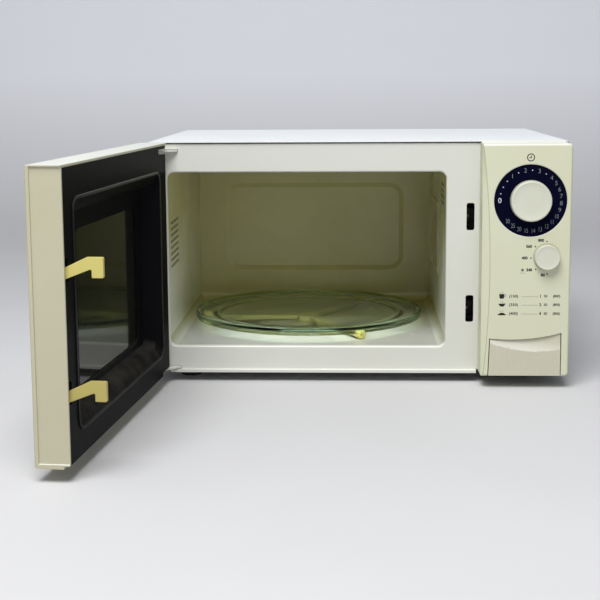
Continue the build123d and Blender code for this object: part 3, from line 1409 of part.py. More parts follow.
# Thermal cut-out on the cavity's ceiling
with BuildPart() as thermal_cutout:
    cutout_base = (cavity_left + cutout_x, plate_back + cutout_y, cavity_ceiling_z + sheet)
    rod(cutout_base, (0, 0, 1), cutout_height, cutout_radius)
    for side in (-1, 1):
        tab_x = cutout_base[0] + side * cutout_radius / 2
        tab_z = (cutout_base[2] + cutout_height, cutout_base[2] + 2 * cutout_height)
        block(around(tab_x, sheet), around(cutout_base[1], cutout_radius), tab_z)
keep(thermal_cutout, "thermal_cutout")

# Cord gland in the rear panel
with BuildPart() as cord_gland:
    rod((gland_x, rear_front, gland_z), (0, 1, 0), sheet, gland_radius)
    rod((gland_x, rear_back, gland_z), (0, 1, 0), gland_flange, gland_flange_radius)
    rod((gland_x, rear_front, gland_z), (0, 1, 0), sheet + gland_flange, gland_bore, Mode.SUBTRACT)
keep(cord_gland, "cord_gland")

# Screws that hold the cover's return to the rear panel
with BuildPart() as cover_screws:
    for x, z in screw_places:
        rod((x, back_y, z), (0, 1, 0), screw_head_height, screw_head_radius)
        rod((x, back_y, z), (0, -1, 0), screw_length, screw_radius)
keep(cover_screws, "cover_screws")
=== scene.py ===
import json
import math

import bmesh
import bpy
from mathutils import Matrix, Vector

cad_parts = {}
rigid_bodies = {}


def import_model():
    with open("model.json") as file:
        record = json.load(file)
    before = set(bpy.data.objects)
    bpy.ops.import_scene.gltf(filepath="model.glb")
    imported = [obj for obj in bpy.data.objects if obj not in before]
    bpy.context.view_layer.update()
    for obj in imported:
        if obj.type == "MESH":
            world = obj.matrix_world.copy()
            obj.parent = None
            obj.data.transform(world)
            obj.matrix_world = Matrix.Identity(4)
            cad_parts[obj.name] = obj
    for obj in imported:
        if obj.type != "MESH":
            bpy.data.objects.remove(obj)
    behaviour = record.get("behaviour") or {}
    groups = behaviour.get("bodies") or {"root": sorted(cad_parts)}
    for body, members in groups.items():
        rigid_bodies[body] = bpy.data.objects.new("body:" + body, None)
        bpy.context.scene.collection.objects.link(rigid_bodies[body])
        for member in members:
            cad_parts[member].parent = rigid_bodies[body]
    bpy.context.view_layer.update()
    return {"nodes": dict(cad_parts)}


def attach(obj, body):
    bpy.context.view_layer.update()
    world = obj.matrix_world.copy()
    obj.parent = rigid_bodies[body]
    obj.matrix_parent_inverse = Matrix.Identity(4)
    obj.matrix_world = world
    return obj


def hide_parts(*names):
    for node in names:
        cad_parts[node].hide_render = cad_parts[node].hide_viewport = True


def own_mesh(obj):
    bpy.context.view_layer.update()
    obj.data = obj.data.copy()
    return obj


for leftover in list(bpy.data.objects):
    bpy.data.objects.remove(leftover, do_unlink=True)

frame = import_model()
nodes = frame["nodes"]
scene = bpy.context.scene
mm = 0.001
print("frame loaded:", len(nodes), "nodes")

screenCurve = {"offset": 0.055, "power": 2.4, "knee": 0.04, "slope": 12.92}


def shade(red, green, blue):
    # a colour as it shows on screen, as scene light
    light = []
    for part in (red / 255, green / 255, blue / 255):
        if part > screenCurve["knee"]:
            part = (part + screenCurve["offset"]) / (1 + screenCurve["offset"])
            light.append(part ** screenCurve["power"])
        else:
            light.append(part / screenCurve["slope"])
    return (*light, 1.0)


def addPiece(name, mesh, material=None):
    piece = bpy.data.objects.new(name, mesh)
    scene.collection.objects.link(piece)
    if material:
        mesh.materials.clear()
        mesh.materials.append(material)
    return piece


def seat(piece, body, slot, *replaced):
    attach(piece, body)
    if replaced:
        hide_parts(*replaced)


def meshFrom(work, name, sharpAngle=35):
    # smooth faces, with creases kept where the surface really turns
    limit = math.radians(sharpAngle)
    for face in work.faces:
        face.smooth = True
    for edge in work.edges:
        edge.smooth = not (len(edge.link_faces) == 2 and edge.calc_face_angle(0) > limit)
    mesh = bpy.data.meshes.new(name)
    work.to_mesh(mesh)
    work.free()
    return mesh


def bakeModifiers(piece):
    graph = bpy.context.evaluated_depsgraph_get()
    mesh = bpy.data.meshes.new_from_object(piece.evaluated_get(graph))
    piece.modifiers.clear()
    piece.data = mesh
    return piece


def turned(name, profile, steps, center, axis, sharpAngle):
    # a lathe: (radius, along) in mm, spun about an axis through center
    along = Vector(axis).normalized()
    across = along.orthogonal().normalized()
    side = along.cross(across)
    work = bmesh.new()
    rings = []
    for radius, lift in profile:
        middle = Vector(center) * mm + along * lift * mm
        if not radius:
            rings.append([work.verts.new(middle)])
            continue
        ring = []
        for step in range(steps):
            angle = 2 * math.pi * step / steps
            outward = across * math.cos(angle) + side * math.sin(angle)
            ring.append(work.verts.new(middle + outward * radius * mm))
        rings.append(ring)
    for low, high in zip(rings, rings[1:]):
        for step in range(steps):
            after = (step + 1) % steps
            corners = [low[step % len(low)], low[after % len(low)],
                       high[after % len(high)], high[step % len(high)]]
            seen = list(dict.fromkeys(corners))
            if len(seen) > 2:
                work.faces.new(seen)
    bmesh.ops.recalc_face_normals(work, faces=work.faces)
    return meshFrom(work, name, sharpAngle)


def skin(work, rings):
    # a closed solid through rings of points in mm
    loops = [[work.verts.new([v * mm for v in point]) for point in ring] for ring in rings]
    made = [work.faces.new(loops[0]), work.faces.new(loops[-1][::-1])]
    for near, far in zip(loops, loops[1:]):
        for i in range(len(near)):
            j = (i + 1) % len(near)
            made.append(work.faces.new((near[i], near[j], far[j], far[i])))
    bmesh.ops.recalc_face_normals(work, faces=made)


kinds = {"color": "NodeSocketColor", "value": "NodeSocketFloat"}
mixSockets = {"amount": 0, "first": 6, "second": 7, "result": 2}


class Wiring:
    # a node tree with short words for adding and joining nodes
    def __init__(self, tree):
        self.tree = tree

    def add(self, kind, **settings):
        node = self.tree.nodes.new(kind)
        for key, value in settings.items():
            setattr(node, key, value)
        return node

    def find(self, kind):
        return next(node for node in self.tree.nodes if node.type == kind)

    def join(self, source, target):
        self.tree.links.new(source, target)

    def feed(self, node, label, source):
        target = node.inputs[label]
        if isinstance(source, bpy.types.NodeSocket):
            self.join(source, target)
        else:
            target.default_value = source

    def effect(self, name, values):
        # a shared node group with values of its own
        node = self.add("ShaderNodeGroup", node_tree=bpy.data.node_groups[name])
        for label, value in values.items():
            node.inputs[label].default_value = value
        return node

    def shape(self, kind, **sources):
        # a primitive with its sizes fed in
        node = self.add(kind)
        for label, source in sources.items():
            self.feed(node, label.replace("_", " "), source)
        return node.outputs["Mesh"]

    def place(self):
        return self.add("ShaderNodeTexCoord").outputs["Object"]

    def split(self, source):
        node = self.add("ShaderNodeSeparateXYZ")
        self.join(source, node.inputs[0])
        return node.outputs

    def facing(self, label="Normal"):
        return self.split(self.add("ShaderNodeNewGeometry").outputs[label])

    def noise(self, place, scale, detail, rough=0.5):
        node = self.add("ShaderNodeTexNoise")
        self.join(place, node.inputs["Vector"])
        self.feed(node, "Scale", scale)
        node.inputs["Detail"].default_value = detail
        node.inputs["Roughness"].default_value = rough
        return node.outputs["Fac"]

    def spread(self, source, band, out=(0.0, 1.0)):
        # a band of values stretched to another
        node = self.add("ShaderNodeMapRange")
        labels = ("Value", "From Min", "From Max", "To Min", "To Max")
        for label, value in zip(labels, (source, *band, *out)):
            self.feed(node, label, value)
        return node.outputs["Result"]

    def patch(self, place, scale, detail, band, out=(0.0, 1.0), rough=0.5):
        return self.spread(self.noise(place, scale, detail, rough), band, out)

    def sum(self, first, second, operation="ADD"):
        node = self.add("ShaderNodeMath", operation=operation)
        self.feed(node, 0, first)
        self.feed(node, 1, second)
        return node.outputs[0]

    def times(self, first, second):
        return self.sum(first, second, "MULTIPLY")

    def blend(self, amount, first, second):
        node = self.add("ShaderNodeMix", data_type="RGBA", blend_type="MIX")
        self.feed(node, mixSockets["amount"], amount)
        self.feed(node, mixSockets["first"], first)
        self.feed(node, mixSockets["second"], second)
        return node.outputs[mixSockets["result"]]


def startGroup(name, takes, gives):
    tree = bpy.data.node_groups.new(name, "ShaderNodeTree")
    for label, value in takes.items():
        kind = "color" if isinstance(value, tuple) else "value"
        socket = tree.interface.new_socket(name=label, in_out="INPUT", socket_type=kinds[kind])
        socket.default_value = value
    for label, kind in gives.items():
        tree.interface.new_socket(name=label, in_out="OUTPUT", socket_type=kinds[kind])
    wires = Wiring(tree)
    return wires, wires.add("NodeGroupInput").outputs, wires.add("NodeGroupOutput").inputs


fullSet = {"Color": "color", "Roughness": "value", "Height": "value"}
colorOnly = {"Color": "color"}
plainTone = (0.8, 0.8, 0.8, 1.0)

# sprayed paint: slow yellowing, faint mottling, orange peel
wires, take, give = startGroup("paintCoat", {
    "Tone": plainTone, "Aged": plainTone, "Ageing": 0.5, "Peel Scale": 700.0,
    "Gloss Roughness": 0.3}, fullSet)
place = wires.place()
slow = wires.patch(place, scale=5.0, detail=4.0, band=(0.42, 0.72))
mottle = wires.patch(place, scale=110.0, detail=2.0, band=(0.35, 0.7), out=(0.0, 0.08))
uneven = wires.patch(place, scale=16.0, detail=5.0, band=(0.3, 0.7), out=(-0.04, 0.08))
body = wires.blend(wires.times(slow, take["Ageing"]), take["Tone"], take["Aged"])
wires.join(wires.blend(mottle, body, take["Aged"]), give["Color"])
wires.join(wires.sum(take["Gloss Roughness"], uneven), give["Roughness"])
wires.join(wires.noise(place, take["Peel Scale"], detail=2.0), give["Height"])

# moulded plastic: fine spark grain, slow tone drift
wires, take, give = startGroup("mouldGrain", {
    "Tone": plainTone, "Drift": plainTone, "Drift Amount": 0.4, "Grain Scale": 900.0,
    "Base Roughness": 0.45}, fullSet)
place = wires.place()
slow = wires.patch(place, scale=8.0, detail=4.0, band=(0.4, 0.7))
grain = wires.noise(place, take["Grain Scale"], detail=3.0, rough=0.6)
specks = wires.spread(grain, band=(0.3, 0.7), out=(0.0, 0.1))
uneven = wires.spread(grain, band=(0.3, 0.7), out=(-0.06, 0.08))
body = wires.blend(wires.times(slow, take["Drift Amount"]), take["Tone"], take["Drift"])
wires.join(wires.blend(specks, body, take["Drift"]), give["Color"])
wires.join(wires.sum(take["Base Roughness"], uneven), give["Roughness"])
wires.join(grain, give["Height"])

# coated sheet steel: crystal spangle under rolling marks
rolling = {"stretch": (30.0, 500.0, 500.0), "dullShare": 0.5}
wires, take, give = startGroup("sheetSteel", {
    "Tone": plainTone, "Dull": plainTone, "Spangle Scale": 90.0, "Base Roughness": 0.35}, fullSet)
place = wires.place()
cells = wires.add("ShaderNodeTexVoronoi")
wires.join(place, cells.inputs["Vector"])
wires.join(take["Spangle Scale"], cells.inputs["Scale"])
facet = wires.add("ShaderNodeSeparateColor")
wires.join(cells.outputs["Color"], facet.inputs[0])
stretch = wires.add("ShaderNodeMapping")
stretch.inputs["Scale"].default_value = rolling["stretch"]
wires.join(place, stretch.inputs["Vector"])
dull = wires.times(facet.outputs[0], rolling["dullShare"])
uneven = wires.spread(facet.outputs[1], band=(0.0, 1.0), out=(-0.07, 0.1))
wires.join(wires.blend(dull, take["Tone"], take["Dull"]), give["Color"])
wires.join(wires.sum(take["Base Roughness"], uneven), give["Roughness"])
wires.join(wires.noise(stretch.outputs[0], scale=1.0, detail=2.0), give["Height"])

# handled glass: faint smears that break the gloss
wires, take, give = startGroup("glassSmear", {
    "Tone": plainTone, "Film": plainTone, "Film Amount": 0.3, "Clean Roughness": 0.02,
    "Smear Roughness": 0.1}, fullSet)
place = wires.place()
smear = wires.patch(place, scale=22.0, detail=5.0, rough=0.6, band=(0.5, 0.75))
film = wires.times(smear, take["Film Amount"])
gloss = (take["Clean Roughness"], take["Smear Roughness"])
wires.join(wires.blend(film, take["Tone"], take["Film"]), give["Color"])
wires.join(wires.spread(smear, band=(0.0, 1.0), out=gloss), give["Roughness"])
wires.join(wires.noise(place, scale=40.0, detail=2.0), give["Height"])

# dust lies on what faces up
dullDust = (0.85, 0.85, 0.85, 1.0)
wires, take, give = startGroup("settledDust", {
    "Color": plainTone, "Roughness": 0.5, "Dust": plainTone, "Amount": 0.4},
    {"Color": "color", "Roughness": "value"})
up = wires.spread(wires.facing()["Z"], band=(0.15, 0.95))
patchy = wires.patch(wires.place(), scale=45.0, detail=5.0, rough=0.65, band=(0.35, 0.65),
                     out=(0.25, 1.0))
lying = wires.times(wires.times(up, patchy), take["Amount"])
wires.join(wires.blend(lying, take["Color"], take["Dust"]), give["Color"])
wires.join(wires.blend(lying, take["Roughness"], dullDust), give["Roughness"])

# painted shade in the holes of a wall that faces sideways: faces that don't look sideways are
# darkened
wires, take, give = startGroup("holeShade", {"Color": plainTone, "Hole Shade": plainTone}, colorOnly)
aside = wires.sum(wires.facing("True Normal")["X"], 0.0, "ABSOLUTE")
inside = wires.spread(aside, band=(0.2, 0.8), out=(1.0, 0.0))
wires.join(wires.blend(inside, take["Color"], take["Hole Shade"]), give["Color"])

# painted light: faces that look up are made paler, as if lit from above
wires, take, give = startGroup("paintedTopLight", {"Color": plainTone, "Lit Tone": plainTone}, colorOnly)
uneven = wires.patch(wires.place(), scale=30.0, detail=3.0, band=(0.3, 0.7), out=(0.8, 1.0))
lit = wires.times(wires.spread(wires.facing()["Z"], band=(0.12, 0.7)), uneven)
wires.join(wires.blend(lit, take["Color"], take["Lit Tone"]), give["Color"])

# a second tone that fades out with height and with depth
wires, take, give = startGroup("toneFade", {
    "Color": plainTone, "Other": plainTone, "Full Z": 0.0, "None Z": 0.1, "Full Y": 0.0,
    "Far Y": 1.0, "Far Share": 1.0}, colorOnly)
axes = wires.split(wires.place())
byHeight = wires.spread(axes["Z"], (take["Full Z"], take["None Z"]), (1.0, 0.0))
byDepth = wires.spread(axes["Y"], (take["Full Y"], take["Far Y"]), (1.0, take["Far Share"]))
wires.join(wires.blend(wires.times(byHeight, byDepth), take["Color"], take["Other"]), give["Color"])

reliefDepth = 0.05 * mm


def finish(name, group, values, bump, layers=(), **fixed):
    material = bpy.data.materials.new(name)
    material.use_nodes = True
    wires = Wiring(material.node_tree)
    material.node_tree.nodes.clear()
    shader = wires.add("ShaderNodeBsdfPrincipled")
    wires.join(shader.outputs[0], wires.add("ShaderNodeOutputMaterial").inputs["Surface"])
    coat = wires.effect(group, values)
    color, rough = coat.outputs["Color"], coat.outputs["Roughness"]
    for effect, settings in layers:
        layer = wires.effect(effect, settings)
        wires.join(color, layer.inputs["Color"])
        color = layer.outputs["Color"]
        if "Roughness" in layer.outputs:
            wires.join(rough, layer.inputs["Roughness"])
            rough = layer.outputs["Roughness"]
    wires.join(color, shader.inputs["Base Color"])
    wires.join(rough, shader.inputs["Roughness"])
    relief = wires.add("ShaderNodeBump")
    relief.inputs["Strength"].default_value = bump
    relief.inputs["Distance"].default_value = reliefDepth
    wires.join(coat.outputs["Height"], relief.inputs["Height"])
    wires.join(relief.outputs[0], shader.inputs["Normal"])
    for label, value in fixed.items():
        shader.inputs[label].default_value = value
    return material


def paint(name, tone, aged, ageing, rough, peel=700.0, bump=0.12, **more):
    values = {"Tone": tone, "Aged": aged, "Ageing": ageing, "Gloss Roughness": rough,
              "Peel Scale": peel}
    return finish(name, "paintCoat", values, bump, **more)


def mould(name, tone, drift, amount, rough, grain=900.0, bump=0.15, **more):
    values = {"Tone": tone, "Drift": drift, "Drift Amount": amount, "Base Roughness": rough,
              "Grain Scale": grain}
    return finish(name, "mouldGrain", values, bump, **more)


def steel(name, tone, dull, rough, spangle=90.0, bump=0.08):
    values = {"Tone": tone, "Dull": dull, "Base Roughness": rough, "Spangle Scale": spangle}
    return finish(name, "sheetSteel", values, bump, Metallic=1.0)


def glass(name, tone, film, filmAmount, clean, smear, **more):
    values = {"Tone": tone, "Film": film, "Film Amount": filmAmount, "Clean Roughness": clean,
              "Smear Roughness": smear}
    return finish(name, "glassSmear", values, bump=0.03, **more)


def dusty(amount):
    return [("settledDust", {"Dust": shade(128, 124, 116), "Amount": amount})]


# a paler tone on faces that look up: painted light from above
def topLit(red, green, blue):
    return [("paintedTopLight", {"Lit Tone": shade(red, green, blue)})]


# darker sides of the holes: painted shade
def holeShaded(red, green, blue):
    return [("holeShade", {"Hole Shade": shade(red, green, blue)})]


# a second tone over bands of height and depth; each use of it here paints light and shade
def paintedLightFade(tone, height, depth, farShare=0.0):
    return [("toneFade", {"Other": shade(*tone), "Full Z": height[0], "None Z": height[1],
                          "Full Y": depth[0], "Far Y": depth[1], "Far Share": farShare})]


recipes = {
    "coverPaint": (paint, (234, 237, 239), (228, 228, 221),
        {"ageing": 0.25, "rough": 0.34, "peel": 900.0, "bump": 0.04}),
    # the paler up-facing faces of frontPaint, ivoryPanel, buttonIvory and doorIvory are painted
    # light from above
    "frontPaint": (paint, (209, 210, 202), (202, 199, 185),
        {"ageing": 0.35, "rough": 0.34, "layers": topLit(232, 232, 226)}),
    "wallPaint": (paint, (201, 196, 138), (178, 168, 101),
        {"ageing": 0.5, "rough": 0.15, "peel": 300.0}),
    # painted light: the side walls turn pale toward the floor and the front; the holes get painted
    # shade
    "sideWallPaint": (paint, (208, 203, 150), (184, 174, 110),
        {"ageing": 0.5, "rough": 0.15, "peel": 300.0,
         "layers": paintedLightFade((250, 250, 240), (0.1, 0.18), (-0.1, 0.12), 0.5) + holeShaded(36, 33, 20)}),
    # painted light: the coves turn pale like the lit floor, low down and toward the front
    "covePaint": (paint, (208, 203, 150), (184, 174, 110),
        {"ageing": 0.5, "rough": 0.15, "peel": 300.0,
         "layers": paintedLightFade((214, 220, 210), (0.038, 0.052), (-0.07, 0.1))}),
    # painted light: the floor is paler and cooler than the walls' enamel where light falls in at
    # the front, with olive painted shade toward the back
    "floorPaint": (paint, (196, 199, 196), (190, 189, 170),
        {"ageing": 0.4, "rough": 0.2, "peel": 300.0,
         "layers": paintedLightFade((184, 180, 120), (1.0, 2.0), (0.1, -0.07))}),
    "ivoryPanel": (mould, (207, 209, 183), (200, 198, 169),
        {"amount": 0.4, "rough": 0.42, "layers": topLit(226, 228, 220)}),
    "buttonIvory": (mould, (196, 194, 174), (186, 182, 157),
        {"amount": 0.4, "rough": 0.24, "layers": topLit(246, 248, 248)}),
    "doorIvory": (mould, (190, 187, 162), (179, 173, 143),
        {"amount": 0.5, "rough": 0.4, "layers": topLit(214, 217, 210)}),
    "knobWhite": (mould, (205, 207, 191), (197, 195, 175),
        {"amount": 0.35, "rough": 0.32, "grain": 1100.0, "bump": 0.06}),
    "ringNavy": (mould, (6, 7, 30), (9, 8, 34),
        {"amount": 0.5, "rough": 0.5, "grain": 1000.0, "bump": 0.08, "Specular IOR Level": 0.02}),
    # painted shade: the hooks turn darker below 0.14 m, where the lower hook gets less light
    "hookYellow": (mould, (203, 193, 113), (190, 173, 86),
        {"amount": 0.6, "rough": 0.42, "grain": 700.0, "bump": 0.12,
         "layers": paintedLightFade((176, 163, 92), (0.09, 0.14), (-0.5, -0.3))}),
    "chokeBlack": (mould, (12, 12, 15), (19, 18, 21),
        {"amount": 0.5, "rough": 0.42, "grain": 800.0, "bump": 0.1, "layers": dusty(0.2),
         "Specular IOR Level": 0.02}),
    "slotBlack": (mould, (10, 10, 12), (15, 15, 16),
        {"amount": 0.5, "rough": 0.5, "grain": 800.0, "bump": 0.1, "Specular IOR Level": 0.05}),
    "rollerNylon": (mould, (158, 154, 100), (148, 140, 82),
        {"amount": 0.5, "rough": 0.45, "grain": 800.0, "bump": 0.1}),
    "blackMould": (mould, (30, 30, 31), (46, 45, 44),
        {"amount": 0.5, "rough": 0.5, "layers": dusty(0.25)}),
    "whiteNylon": (mould, (226, 224, 214), (206, 200, 182), {"amount": 0.5, "rough": 0.48}),
    "frameBlack": (paint, (24, 24, 26), (44, 42, 40),
        {"ageing": 0.5, "rough": 0.42, "peel": 900.0}),
    "footRubber": (mould, (34, 33, 32), (58, 55, 52),
        {"amount": 0.6, "rough": 0.72, "grain": 500.0, "bump": 0.3, "layers": dusty(0.4)}),
    "zincSteel": (steel, (196, 197, 198), (150, 152, 155), {"rough": 0.34}),
    "darkSteel": (steel, (112, 112, 114), (74, 74, 78), {"rough": 0.4, "spangle": 140.0}),
    "springWire": (steel, (168, 166, 162), (112, 108, 102), {"rough": 0.28, "spangle": 400.0}),
    "coreSteel": (steel, (128, 122, 116), (84, 78, 72),
        {"rough": 0.5, "spangle": 60.0, "bump": 0.3}),
    "finAluminium": (steel, (214, 215, 217), (176, 178, 182), {"rough": 0.3, "spangle": 220.0}),
    "copperWire": (steel, (196, 116, 72), (140, 70, 40),
        {"rough": 0.36, "spangle": 300.0, "bump": 0.4}),
    "micaSheet": (mould, (206, 198, 168), (160, 142, 98),
        {"amount": 0.7, "rough": 0.34, "grain": 160.0, "bump": 0.2}),
    "boardGreen": (mould, (38, 92, 58), (60, 116, 70),
        {"amount": 0.5, "rough": 0.4, "grain": 400.0, "bump": 0.1, "layers": dusty(0.2)}),
    "paneSmoked": (glass, (44, 46, 38), (66, 66, 54),
        {"filmAmount": 0.3, "clean": 0.05, "smear": 0.14, "Transmission Weight": 0.5, "IOR": 1.22}),
    "lampGlass": (glass, (250, 248, 240), (232, 226, 206),
        {"filmAmount": 0.3, "clean": 0.02, "smear": 0.1, "Transmission Weight": 1.0, "IOR": 1.46}),
    "trayGlass": (glass, (244, 250, 240), (232, 226, 150),
        {"filmAmount": 0.55, "clean": 0.015, "smear": 0.1, "Transmission Weight": 1.0,
         "IOR": 1.22}),
    "inkBlack": (mould, (24, 23, 25), (40, 39, 40),
        {"amount": 0.5, "rough": 0.5, "grain": 1500.0, "bump": 0.05, "Specular IOR Level": 0.2}),
    "inkPale": (mould, (206, 206, 214), (180, 180, 196),
        {"amount": 0.5, "rough": 0.5, "grain": 1500.0, "bump": 0.05}),
    "inkDim": (mould, (122, 134, 128), (100, 110, 110),
        {"amount": 0.5, "rough": 0.5, "grain": 1500.0, "bump": 0.05}),
    # darker line tone for the panel's crease and the ring round the power knob: painted shade
    "inkCrease": (mould, (172, 173, 143), (164, 163, 132),
        {"amount": 0.5, "rough": 0.5, "grain": 1500.0, "bump": 0.05}),
}
finishes = {}
for name, (make, tone, other, more) in recipes.items():
    finishes[name] = make(name, shade(*tone), shade(*other), **more)

# the tray's own depth of glass gives the green of its rim
trayDepth = {"soak": (0.42, 0.74, 0.50, 1.0), "density": 42.0, "shadow": (0.93, 0.95, 0.92, 1.0)}
wires = Wiring(finishes["trayGlass"].node_tree)
ending = wires.find("OUTPUT_MATERIAL")
soak = wires.add("ShaderNodeVolumeAbsorption")
soak.inputs["Color"].default_value = trayDepth["soak"]
soak.inputs["Density"].default_value = trayDepth["density"]
clear = wires.add("ShaderNodeBsdfTransparent")
clear.inputs["Color"].default_value = trayDepth["shadow"]
through = wires.add("ShaderNodeMixShader")
wires.join(wires.add("ShaderNodeLightPath").outputs["Is Shadow Ray"], through.inputs[0])
wires.join(wires.find("BSDF_PRINCIPLED").outputs[0], through.inputs[1])
wires.join(clear.outputs[0], through.inputs[2])
wires.join(through.outputs[0], ending.inputs["Surface"])
wires.join(soak.outputs[0], ending.inputs["Volume"])

# the raised bead of the choke cover is the shiny part of it, less so at its foot and far end
doorAngle = math.radians(95.3)
chokeFace = {"toward": (math.sin(doorAngle), math.cos(doorAngle), 0.0), "level": -0.18844,
             "rise": (0.0003, 0.001), "roughness": 0.42,
             "foot": {"band": (0.05, 0.1), "out": (0.25, 1.0)},
             "end": {"band": (-0.52, -0.45), "out": (0.3, 1.0)}}
wires = Wiring(finishes["chokeBlack"].node_tree)
spot = wires.place()
height = wires.add("ShaderNodeVectorMath", operation="DOT_PRODUCT")
wires.join(spot, height.inputs[0])
height.inputs[1].default_value = chokeFace["toward"]
axes = wires.split(spot)
gloss = wires.times(wires.spread(axes["Z"], **chokeFace["foot"]),
                    wires.spread(axes["Y"], **chokeFace["end"]))
bead = [chokeFace["level"] + rise for rise in chokeFace["rise"]]
shader = wires.find("BSDF_PRINCIPLED")
shader.inputs["Coat Roughness"].default_value = chokeFace["roughness"]
wires.join(wires.spread(height.outputs["Value"], bead, (0.0, gloss)), shader.inputs["Coat Weight"])

wear = {
    "coverPaint": "outer_cover",
    "frontPaint": "front_plate upper_hinge_bracket lower_hinge_bracket",
    "wallPaint": "cavity_ceiling cavity_back_wall",
    "sideWallPaint": "cavity_left_wall cavity_right_wall",
    "floorPaint": "cavity_floor",
    "ivoryPanel": "control_panel",
    "buttonIvory": "open_button",
    "doorIvory": "door_shell",
    "knobWhite": "timer_knob power_knob",
    "ringNavy": "timer_scale_ring",
    "hookYellow": "latch_head roller_left roller_front roller_back",
    "chokeBlack": "choke_cover",
    "slotBlack": "latch_board",
    "rollerNylon": "roller_support drive_coupler",
    "frameBlack": "door_frame window_screen",
    "paneSmoked": "inner_window outer_window",
    "trayGlass": "glass_tray",
    "footRubber": "feet",
    "lampGlass": "oven_lamp",
    "micaSheet": "waveguide_cover",
    "copperWire": "transformer_windings",
    "coreSteel": "transformer_core",
    "finAluminium": "magnetron_anode hv_capacitor",
    "boardGreen": "filter_board",
    "springWire": "latch_spring button_spring fan_shaft",
    "darkSteel": "fan_motor turntable_motor",
    "zincSteel": "rear_panel base_plate waveguide magnetron_yoke cover_screws",
    "whiteNylon": "open_lever primary_plunger secondary_plunger lamp_holder",
    "blackMould": "exhaust_duct timer_unit power_selector primary_interlock_switch "
                  "secondary_interlock_switch hv_diode fan_shroud cooling_fan thermal_cutout "
                  "cord_gland",
}
for finishName, names in wear.items():
    for name in names.split():
        nodes[name].data.materials.clear()
        nodes[name].data.materials.append(finishes[finishName])
print("finishes placed:", len(finishes))

ease = {"merge": 2e-6, "flat": 0.5, "sharp": 38, "crease": 44, "segments": 2, "profile": 0.5}


def mergedCopy(nodeName):
    work = bmesh.new()
    work.from_mesh(nodes[nodeName].data)
    bmesh.ops.remove_doubles(work, verts=work.verts, dist=ease["merge"])
    return work


def settle(work):
    # triangulating leaves edges and faces in any order: this puts them in one order
    work.verts.index_update()
    for elements in (work.edges, work.faces):
        ordered = sorted(elements, key=lambda e: sorted(v.index for v in e.verts))
        rank = {element: i for i, element in enumerate(ordered)}
        elements.sort(key=rank.get)


def softShell(pieceName, nodeName, finishName, body, slot, width):
    # the CAD shell with its sharp moulded or folded edges eased
    work = mergedCopy(nodeName)
    bmesh.ops.dissolve_limit(work, angle_limit=math.radians(ease["flat"]), verts=work.verts,
                             edges=work.edges)
    limit = math.radians(ease["sharp"])
    sharp = [e for e in work.edges if len(e.link_faces) == 2 and e.calc_face_angle(0) > limit]
    bmesh.ops.bevel(work, geom=sharp, offset=width * mm, offset_type="OFFSET", affect="EDGES",
                    segments=ease["segments"], profile=ease["profile"], clamp_overlap=False)
    bmesh.ops.triangulate(work, faces=[f for f in work.faces if len(f.verts) > 4])
    settle(work)
    mesh = meshFrom(work, pieceName, ease["crease"])
    piece = addPiece(pieceName, mesh, finishes[finishName])
    smooth = piece.modifiers.new("evenNormals", "WEIGHTED_NORMAL")
    smooth.keep_sharp = True
    seat(bakeModifiers(piece), body, slot, nodeName)


softShells = {
    "controlPanelShell": ("control_panel", "ivoryPanel", "cabinet", "ivory_plastic", 0.45),
    "doorShellSoft": ("door_shell", "doorIvory", "door", "ivory_plastic", 0.45),
    "chokeCoverSoft": ("choke_cover", "chokeBlack", "door", "choke_plastic", 0.40),
    "latchHooks": ("latch_head", "hookYellow", "latch", "latch_plastic", 0.60),
    "openButtonSoft": ("open_button", "buttonIvory", "button", "ivory_plastic", 0.35),
}
for pieceName, shell in softShells.items():
    softShell(pieceName, *shell)
print("shells softened:", len(softShells))

# each spring as its own copy of the CAD coil, seated on its body; the joint, axis and travel listed
# with it are not read
coils = {
    "latchCoil": {"node": "latch_spring", "body": "door", "joint": "latch_slide",
                  "axis": (0, 0, 1), "travel": 6.0},
    "buttonCoil": {"node": "button_spring", "body": "cabinet", "joint": "open_button_push",
                   "axis": (0, 1, 0), "travel": 6.0},
}
for pieceName, coil in coils.items():
    mesh = meshFrom(mergedCopy(coil["node"]), pieceName, ease["crease"])
    piece = addPiece(pieceName, mesh, finishes["springWire"])
    seat(piece, coil["body"], "spring_steel", coil["node"])
    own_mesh(piece)
print("springs set to close:", len(coils))

# rounded bends where the floor of the cavity meets its walls
cove = {"left": -208.48, "right": 99.48, "back": 148.98, "front": -150.0, "floor": 38.02,
        "radius": 9.0, "steps": 8, "crease": 40}
bend = [(0.0, 0.0)]
for step in range(cove["steps"] + 1):
    angle = math.radians(180 + 90 * step / cove["steps"])
    bend.append((cove["radius"] * (1 + math.cos(angle)), cove["radius"] * (1 + math.sin(angle))))
work = bmesh.new()
for x, inward in ((cove["left"], 1), (cove["right"], -1)):
    skin(work, [[(x + inward * a, y, cove["floor"] + b) for a, b in bend]
                for y in (cove["front"], cove["back"])])
skin(work, [[(x, cove["back"] - a, cove["floor"] + b) for a, b in bend]
            for x in (cove["left"], cove["right"])])
coveMesh = meshFrom(work, "cavityCoves", cove["crease"])
seat(addPiece("cavityCoves", coveMesh, finishes["covePaint"]), "cabinet", "cavity_enamel")

# the panel's top edge rises to the cover in a thin lip
brow = {"left": 135.0, "right": 221.5, "tip": 226.5, "seam": -165.05, "reach": 6.0,
        "foot": 263.8, "tuck": 0.6, "top": 265.9, "tipTop": 264.2, "crease": 40}
rings = []
for end, level in (("left", "top"), ("right", "top"), ("tip", "tipTop")):
    rings.append([(brow[end], brow["seam"], brow["foot"] - brow["tuck"]),
                  (brow[end], brow["seam"] - brow["reach"], brow["foot"]),
                  (brow[end], brow["seam"], brow[level])])
work = bmesh.new()
skin(work, rings)
browMesh = meshFrom(work, "panelBrow", brow["crease"])
seat(addPiece("panelBrow", browMesh, finishes["ivoryPanel"]), "cabinet", "ivory_plastic")

